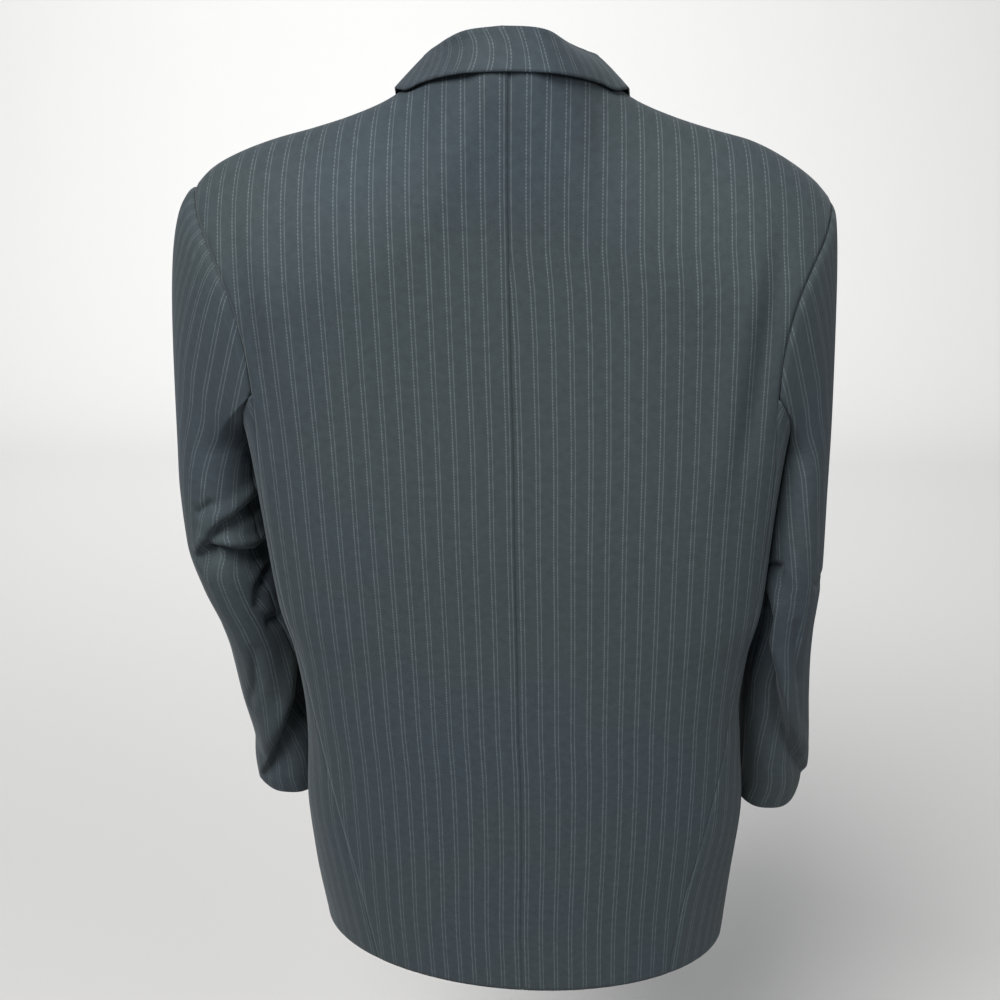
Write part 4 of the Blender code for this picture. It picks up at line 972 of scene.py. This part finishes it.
def cloth_piece(node, net, u, v, outward):
    """A thin shell on a net of points, which takes the place of the CAD node. u and v are
    metres across and down the cloth. It works out its flat cut's widest, longest and area,
    but keeps none of them."""
    rows, cols = net.shape[:2]
    a = (np.arange(rows - 1)[:, None] * cols + np.arange(cols - 1)).ravel()
    faces = np.stack([a, a + cols, a + cols + 1, a + 1], -1)
    row, col = rows // 2, cols // 2
    along = net[row, col] - net[row, col - 1]
    down = net[row, col] - net[row - 1, col]
    if float(np.dot(np.cross(down, along), outward)) < 0:
        faces = faces[:, ::-1]
    piece = place_mesh(f"cloth_{node}", net, faces, CLOTH_LOOK)
    place = np.stack(np.broadcast_arrays(u, v), -1).reshape(-1, 2)[faces.ravel()]
    uv = piece.data.uv_layers.new(name="cloth")
    uv.data.foreach_set("uv", place.astype(np.float32).ravel())
    solid = piece.modifiers.new("cloth", "SOLIDIFY")
    solid.thickness = FINE_CLOTH
    solid.offset = 0
    area = net_area(net)
    width = max(float(lengths(net, 1)[:, -1].max()), MIN_WIDTH)
    length = max(float(lengths(net, 0)[-1].max()), area / width)
    area = max(area, MIN_FILL * width * length)
    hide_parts(node)


def dip(distance, depth, width):
    """A groove at a seam: how far the cloth sinks at this distance from it."""
    return -depth * np.exp(-((distance / width) ** 2))


def panel_dip(distance, level):
    """The groove at a panel's outer seam, deeper along the armhole than below it."""
    armhole_share = np.clip((level - SIDE_START) / ARMHOLE_SEAM_FADE + 1, 0, 1)
    depth = PANEL_SEAM_DEPTH + ARMHOLE_SEAM_EXTRA * armhole_share
    return (dip(distance, 1, PANEL_SEAM_WIDTH) * depth)[..., None]


def facing(net, axis, way):
    """Normals of the net, all turned this way along the axis."""
    normal = net_normals(net)
    return normal * np.where(way * normal[..., axis:axis + 1] < 0, -1.0, 1.0)


def arc_table(back):
    """Distance round the body from the centre line, by level and place across."""
    across, level = np.meshgrid(ARC_STEPS, ARC_LEVELS)
    limit = section("half_width", level) * ARC_END
    y = plan_y(np.minimum(across, limit), level, back)
    step = np.hypot(np.diff(across, axis=1), np.diff(y, axis=1))
    return np.concatenate([np.zeros((len(ARC_LEVELS), 1)), np.cumsum(step, axis=1)], axis=1)


ARCS = {True: arc_table(True), False: arc_table(False)}


def arc(across, level, back):
    """Distance round the body from the centre line, at this level or at the chest's."""
    table = ARCS[back]
    x = np.clip(np.abs(across) / ARC_STEPS[-1], 0, 1) * (len(ARC_STEPS) - 1.001)
    z = (np.clip(level, HEM, ARC_TOP) - HEM) / (ARC_TOP - HEM) * (len(ARC_LEVELS) - 1.001)
    i, j = x.astype(int), z.astype(int)
    fx, fz = x - i, z - j
    low = table[j, i] * (1 - fx) + table[j, i + 1] * fx
    high = table[j + 1, i] * (1 - fx) + table[j + 1, i + 1] * fx
    return np.sign(across) * (low * (1 - fz) + high * fz)


# ---- cloth pieces
def back_piece(side, name):
    flat, net = back_net(side)
    across, level = flat[..., 0], flat[..., 1]
    walk = lengths(net, 1)
    moved = dip(across, *CENTRE_SEAM)[..., None] + panel_dip(np.abs(walk[:, -1:] - walk), level)
    net = net + facing(net, 1, 1) * moved
    first = LEFT_STRIPE if side > 0 else np.interp(level, RIGHT_STRIPE_LEVELS, RIGHT_STRIPES)
    u = -side * (arc(across, level, True) - first) + STRIPE_PITCH / 2
    cloth_piece(f"back_{name}", net, u, level, (0, 1, 0))


def front_piece(side, name):
    flat, net = front_net(side)
    across, level = flat[..., 0], flat[..., 1]
    walk = lengths(net, 1)
    net = net + facing(net, 1, -1) * panel_dip(np.abs(walk[:, -1:] - walk), level)
    u = side * arc(across, level, False)
    cloth_piece(f"front_{name}", net, u, level, (0, -1, 0))


def side_piece(side, name):
    cols, rows = SIDE_NET
    net = side_net(side, np.linspace(0, 1, cols + 1), rows)
    walk = lengths(net, 1)
    seam = np.minimum(walk, walk[:, -1:] - walk)
    net = net + facing(net, 0, side) * panel_dip(seam, net[..., 2])
    u = -side * (walk - walk[:, -1:] / 2)
    cloth_piece(f"side_{name}", net, u, net[..., 2], (side, 0, 0))


def places_on_cap(side, points, walk, turn):
    """Places round the sleeve head. Away from the outside they follow upright planes, and
    next to the outside and to the first ring below they follow the net's columns."""
    across = side * points[..., 0]
    ring = across[-1]
    found = np.zeros(points.shape[:2])
    outside = int(np.argmin(np.abs(turn - SLEEVE_OUTSIDE)))
    for half, middle in ((slice(0, outside + 1), 270), (slice(outside, None), 450)):
        centre = int(np.argmin(np.abs(turn - middle)))
        cols = np.arange(len(turn))[half]
        way = 1 if middle < SLEEVE_OUTSIDE else -1
        known = cols[(cols - centre) * way >= 0][::way]
        beyond = np.interp(across[:, half], ring[known], walk[known])
        short = np.minimum(across[:, half] - ring[centre], 0) * way
        found[:, half] = beyond + short
    start, span = PLANES_FROM
    upright = ease((np.abs(turn - SLEEVE_OUTSIDE) - start) / span)
    down = np.linspace(0, 1, len(points))[:, None]
    upright = upright * (1 - ease((down - PLANES_END) / (1 - PLANES_END)))
    return (found * upright + walk * (1 - upright))[:-1]


def sleeve_pieces(side, name):
    around, cap_rows, arm_rows = SLEEVE_NET
    under_cols = round(around * (SEAM_BACK_TURN - SEAM_FRONT_TURN) / 360)
    under = np.linspace(SEAM_FRONT_TURN, SEAM_BACK_TURN, under_cols + 1)
    top = np.linspace(SEAM_BACK_TURN, SEAM_FRONT_TURN + 360, around - under_cols + 1)
    turn = np.concatenate([under[:-1], top[:-1]])
    net = sleeve_net(side, turn % 360, cap_rows, arm_rows)
    normal = ring_normals(net, side)
    walk = lengths(np.concatenate([net, net[:, :1]], axis=1), 1)
    total = walk[:, -1:]
    walk = walk[:, :-1]
    seam = np.minimum(walk, total - walk)
    seam = np.minimum(seam, np.abs(walk - walk[:, under_cols:under_cols + 1]))
    down = lengths(net, 0)
    moved = dip(seam, *SLEEVE_SEAM) + dip(down, *SLEEVE_TOP_SEAM)
    net = net + normal * moved[..., None]
    net = np.concatenate([net, net[:, :1]], axis=1)
    outside = int(np.argmin(np.abs(turn - SLEEVE_OUTSIDE)))
    v = -down[:, outside:outside + 1]
    for part, first, last in (("under", 0, under_cols), ("top", under_cols, len(turn))):
        points = net[:, first:last + 1]
        walk = lengths(points, 1)
        if part == "top":
            walk[:cap_rows] = places_on_cap(side, points[:cap_rows + 1], walk[cap_rows], top)
            zero = outside - first
            u = walk - walk[:, zero:zero + 1] + np.interp(points[..., 2], LEAN_LEVELS, LEANS)
        else:
            walk[:cap_rows] = walk[cap_rows]
            u = walk - walk[:, -1:] / 2
        row, col = points.shape[0] // 2, first + points.shape[1] // 2
        outward = normal[row, col % len(turn)]
        node = f"sleeve_{part}_{name}"
        cloth_piece(node, points, side * u, v, outward)


def collar_piece():
    net = collar_net(COLLAR_ACROSS)
    edge = lengths(net, 1)[-1:]
    u = edge - edge[:, COLLAR_ACROSS:COLLAR_ACROSS + 1] + STRIPE_PITCH / 2
    cloth_piece("collar", net, u, -lengths(net, 0), (0, -1, 0.3))


def lapel_piece(side, name):
    table = columns(LAPEL_COLUMNS, LAPEL_ROWS)
    v = np.linspace(0 if side > 0 else RIGHT_LAPEL_START, 1, LAPEL_NET[1] + 1)
    u = np.linspace(0, 1, LAPEL_NET[0] + 1)
    rows = np.linspace(0, 1, len(LAPEL_ROWS))
    outer = np.stack([smooth(rows, table["across"], v), smooth(rows, table["level"], v)], -1)
    roll_start = np.array(LAPEL_START)
    inner = roll_start + (np.array(GORGE_TOP) - roll_start) * v[:, None]
    if side < 0:
        covered = LAPEL_COVER_GAP - roll_across(inner[:, 1])
        inner[:, 0] = np.maximum(inner[:, 0], covered)
    flat = inner[:, None] + (outer - inner)[:, None] * u[None, :, None]
    net, normal, _ = front_frame(side, flat[..., 0], flat[..., 1])
    (a, b), (c, d) = LAPEL_ARCH
    bulge = np.sin(math.pi * (a + b * u)) * np.sin(math.pi * (c + d * v))[:, None]
    net = net + normal * (CLOTH + PLY_GAP + LAPEL_RISE * bulge)[..., None]
    walk = lengths(net, 1)
    u = side * (walk - walk[:, -1:])
    cloth_piece(f"lapel_{name}", net, u, -lengths(net, 0), (0, -1, 0))


def laid_piece(node, side, start, size, slant):
    """A flap or the welt, flat on a front."""
    u = np.linspace(0, 1, LAID_NET[0] + 1)[None, :]
    v = np.linspace(0, 1, LAID_NET[1] + 1)[:, None]
    across = start[0] + size[0] * u + 0 * v
    level = start[1] - size[1] * v + slant * u
    net, normal, _ = front_frame(side, across, level)
    net = net + normal * (CLOTH + PLY_GAP)
    u = side * arc(across, level, False)
    cloth_piece(node, net, u, level, (0, -1, 0))


for side, name in SIDE_NAMES.items():
    back_piece(side, name)
    front_piece(side, name)
    side_piece(side, name)
    sleeve_pieces(side, name)
    lapel_piece(side, name)
    laid_piece(f"flap_{name}", side, FLAP_START, FLAP_SIZE, FLAP_SLANT)
laid_piece("breast_welt", 1, WELT_START, WELT_SIZE, WELT_SLANT)
collar_piece()


# ---- buttons and buttonholes
def closed_piece(name, net, finish):
    """A mesh on a net of points whose columns close on themselves."""
    rows, cols = net.shape[:2]
    start = np.arange(rows - 1)[:, None] * cols
    a = (start + np.arange(cols)).ravel()
    b = (start + (np.arange(cols) + 1) % cols).ravel()
    made = place_mesh(name, net, np.stack([a, b, b + cols, a + cols], -1), finish)
    return made


def tube(name, line, radius):
    """A round thread along a line of points."""
    run = unit(np.gradient(line, axis=0))
    aside = unit(np.cross(run, (0, -1, 0.2)))
    other = np.cross(run, aside)
    angle = np.linspace(0, 2 * math.pi, THREAD_SECTORS, endpoint=False)[None, :, None]
    ring = aside[:, None] * np.cos(angle) + other[:, None] * np.sin(angle)
    closed_piece(name, line[:, None] + radius * ring, THREAD_LOOK)


def button_piece(number, level):
    """A button with a rounded rim, a dished face, four holes and crossed threads."""
    spot, normal, _ = front_frame(1, np.array([0.0]), np.array([level]))
    out = unit(normal[0])
    across = unit(np.cross((0, 0, 1), out))
    up = np.cross(out, across)
    seat = spot[0] + out * (CLOTH / 2 + PLY_GAP)
    edge = np.array(BUTTON_EDGE)
    steps = walked(edge)
    at = np.linspace(0, steps[-1], BUTTON_RINGS)
    reach = np.interp(at, steps, edge[:, 0]) * BUTTON_DIAMETER / 2
    rise = np.interp(at, steps, edge[:, 1]) * BUTTON_HEIGHT
    reach[-1] = BUTTON_CENTRE
    angle = np.linspace(0, 2 * math.pi, BUTTON_SECTORS, endpoint=False)
    x = reach[:, None] * np.cos(angle)
    y = reach[:, None] * np.sin(angle)
    z = rise[:, None] + 0 * x
    face = at > steps[BUTTON_FACE_START]
    for turn in (45, 135, 225, 315):
        hole = (HOLE_OUT * math.cos(math.radians(turn)), HOLE_OUT * math.sin(math.radians(turn)))
        inside = ease((HOLE_RADIUS - np.hypot(x - hole[0], y - hole[1])) / HOLE_FADE)
        z = z - HOLE_DEPTH * inside * face[:, None]
    net = seat + x[..., None] * across + y[..., None] * up + z[..., None] * out
    piece = closed_piece(f"fine_button_{number}", net, HORN_LOOK)
    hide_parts(f"button_{number}")
    k = np.linspace(-1, 1, THREAD_ROWS)[:, None]
    lift = BUTTON_HEIGHT * BUTTON_EDGE[-1][1] + THREAD_RISE * (1 - k ** 4) - THREAD_SINK * k ** 8
    for letter, way in (("a", 1), ("b", -1)):
        slant = (across + way * up) * THREAD_SLANT
        tube(f"button_thread_{number}_{letter}", seat + HOLE_OUT * k * slant + lift * out, THREAD)


def buttonhole(name, start, end, lift):
    """Stitching round a slit between two places on the left front, worked as one cord."""
    angle = np.linspace(0, 2 * math.pi, HOLE_STITCHES * 2 + 1)
    half = np.subtract(end, start) / 2
    middle = np.add(start, end) / 2
    length = np.linalg.norm(half)
    along, aside = half / length, np.array((-half[1], half[0])) / length
    bean = np.cos(angle)[:, None] * along * length + np.sin(angle)[:, None] * aside * HOLE_HALF
    flat = middle + bean
    spot, normal, _ = front_frame(1, flat[:, 0], flat[:, 1])
    beat = HOLE_BEAT * np.cos(angle * HOLE_STITCHES)[:, None]
    tube(name, spot + normal * (lift + beat), HOLE_STITCH)


for number, level in enumerate(BUTTON_LEVELS, start=1):
    button_piece(number, level)
    ends = (-HOLE_SETBACK, level), (HOLE_LENGTH - HOLE_SETBACK, level)
    buttonhole(f"buttonhole_{number}", *ends, CLOTH / 2)


# ---- stage, light and camera
def stage():
    """The floor, which bends up into the wall behind."""
    bends = [math.radians(90 * k) for k in np.linspace(0, 1, 17)]
    turn = [(BEND_START - BEND * math.sin(a), BEND * (1 - math.cos(a))) for a in bends]
    profile = [(FLOOR_FRONT, 0.0)] + turn + [(BEND_START - BEND, WALL_TOP)]
    mesh = bmesh.new()
    rows = [[mesh.verts.new((x, y, FLOOR_LEVEL + z)) for x in FLOOR_SIDES] for y, z in profile]
    for a, b in zip(rows, rows[1:]):
        mesh.faces.new((a[0], a[1], b[1], b[0]))
    bmesh.ops.recalc_face_normals(mesh, faces=mesh.faces)
    data = bpy.data.meshes.new("floor")
    mesh.to_mesh(data)
    mesh.free()
    data.shade_smooth()
    # painted shade: the near floor's grey of 0.31 is darker than the 0.54 far off and on the wall
    data.materials.append(backdrop("studio_floor_painted_shade", 0.54, 0.31))
    floor = bpy.data.objects.new("floor", data)
    bpy.context.scene.collection.objects.link(floor)


def aimed(name, data, spot, forward):
    """An object at a spot that looks along a direction, upright."""
    made = bpy.data.objects.new(name, data)
    made.location = spot
    made.rotation_euler = forward.to_track_quat("-Z", "Y").to_euler()
    bpy.context.scene.collection.objects.link(made)
    return made


def lights():
    for light in by_name(LIGHT_COLUMNS, LIGHT_ROWS):
        data = bpy.data.lights.new(light["name"], "AREA")
        data.shape = "RECTANGLE"
        data.size, data.size_y = light["size"]
        data.energy = light["power"]
        data.color = light["colour"]
        forward = Vector(light["target"]) - Vector(light["spot"])
        aimed(light["name"], data, light["spot"], forward)
    world = bpy.data.worlds.new("studio")
    bpy.context.scene.world = world
    world.use_nodes = True
    sky = world.node_tree.nodes["Background"].inputs
    sky["Color"].default_value = SKY_COLOUR
    sky["Strength"].default_value = SKY_STRENGTH


def camera():
    data = bpy.data.cameras.new("camera")
    data.sensor_width = SENSOR
    data.lens = SENSOR * CAMERA_FOCUS
    down, yaw = math.radians(CAMERA_DOWN), math.radians(CAMERA_YAW)
    level = math.cos(down)
    forward = Vector((math.sin(yaw) * level, -math.cos(yaw) * level, -math.sin(down)))
    bpy.context.scene.camera = aimed("camera", data, CAMERA_SPOT, forward)


stage()
lights()
camera()
bpy.context.scene.view_settings.view_transform = "Standard"
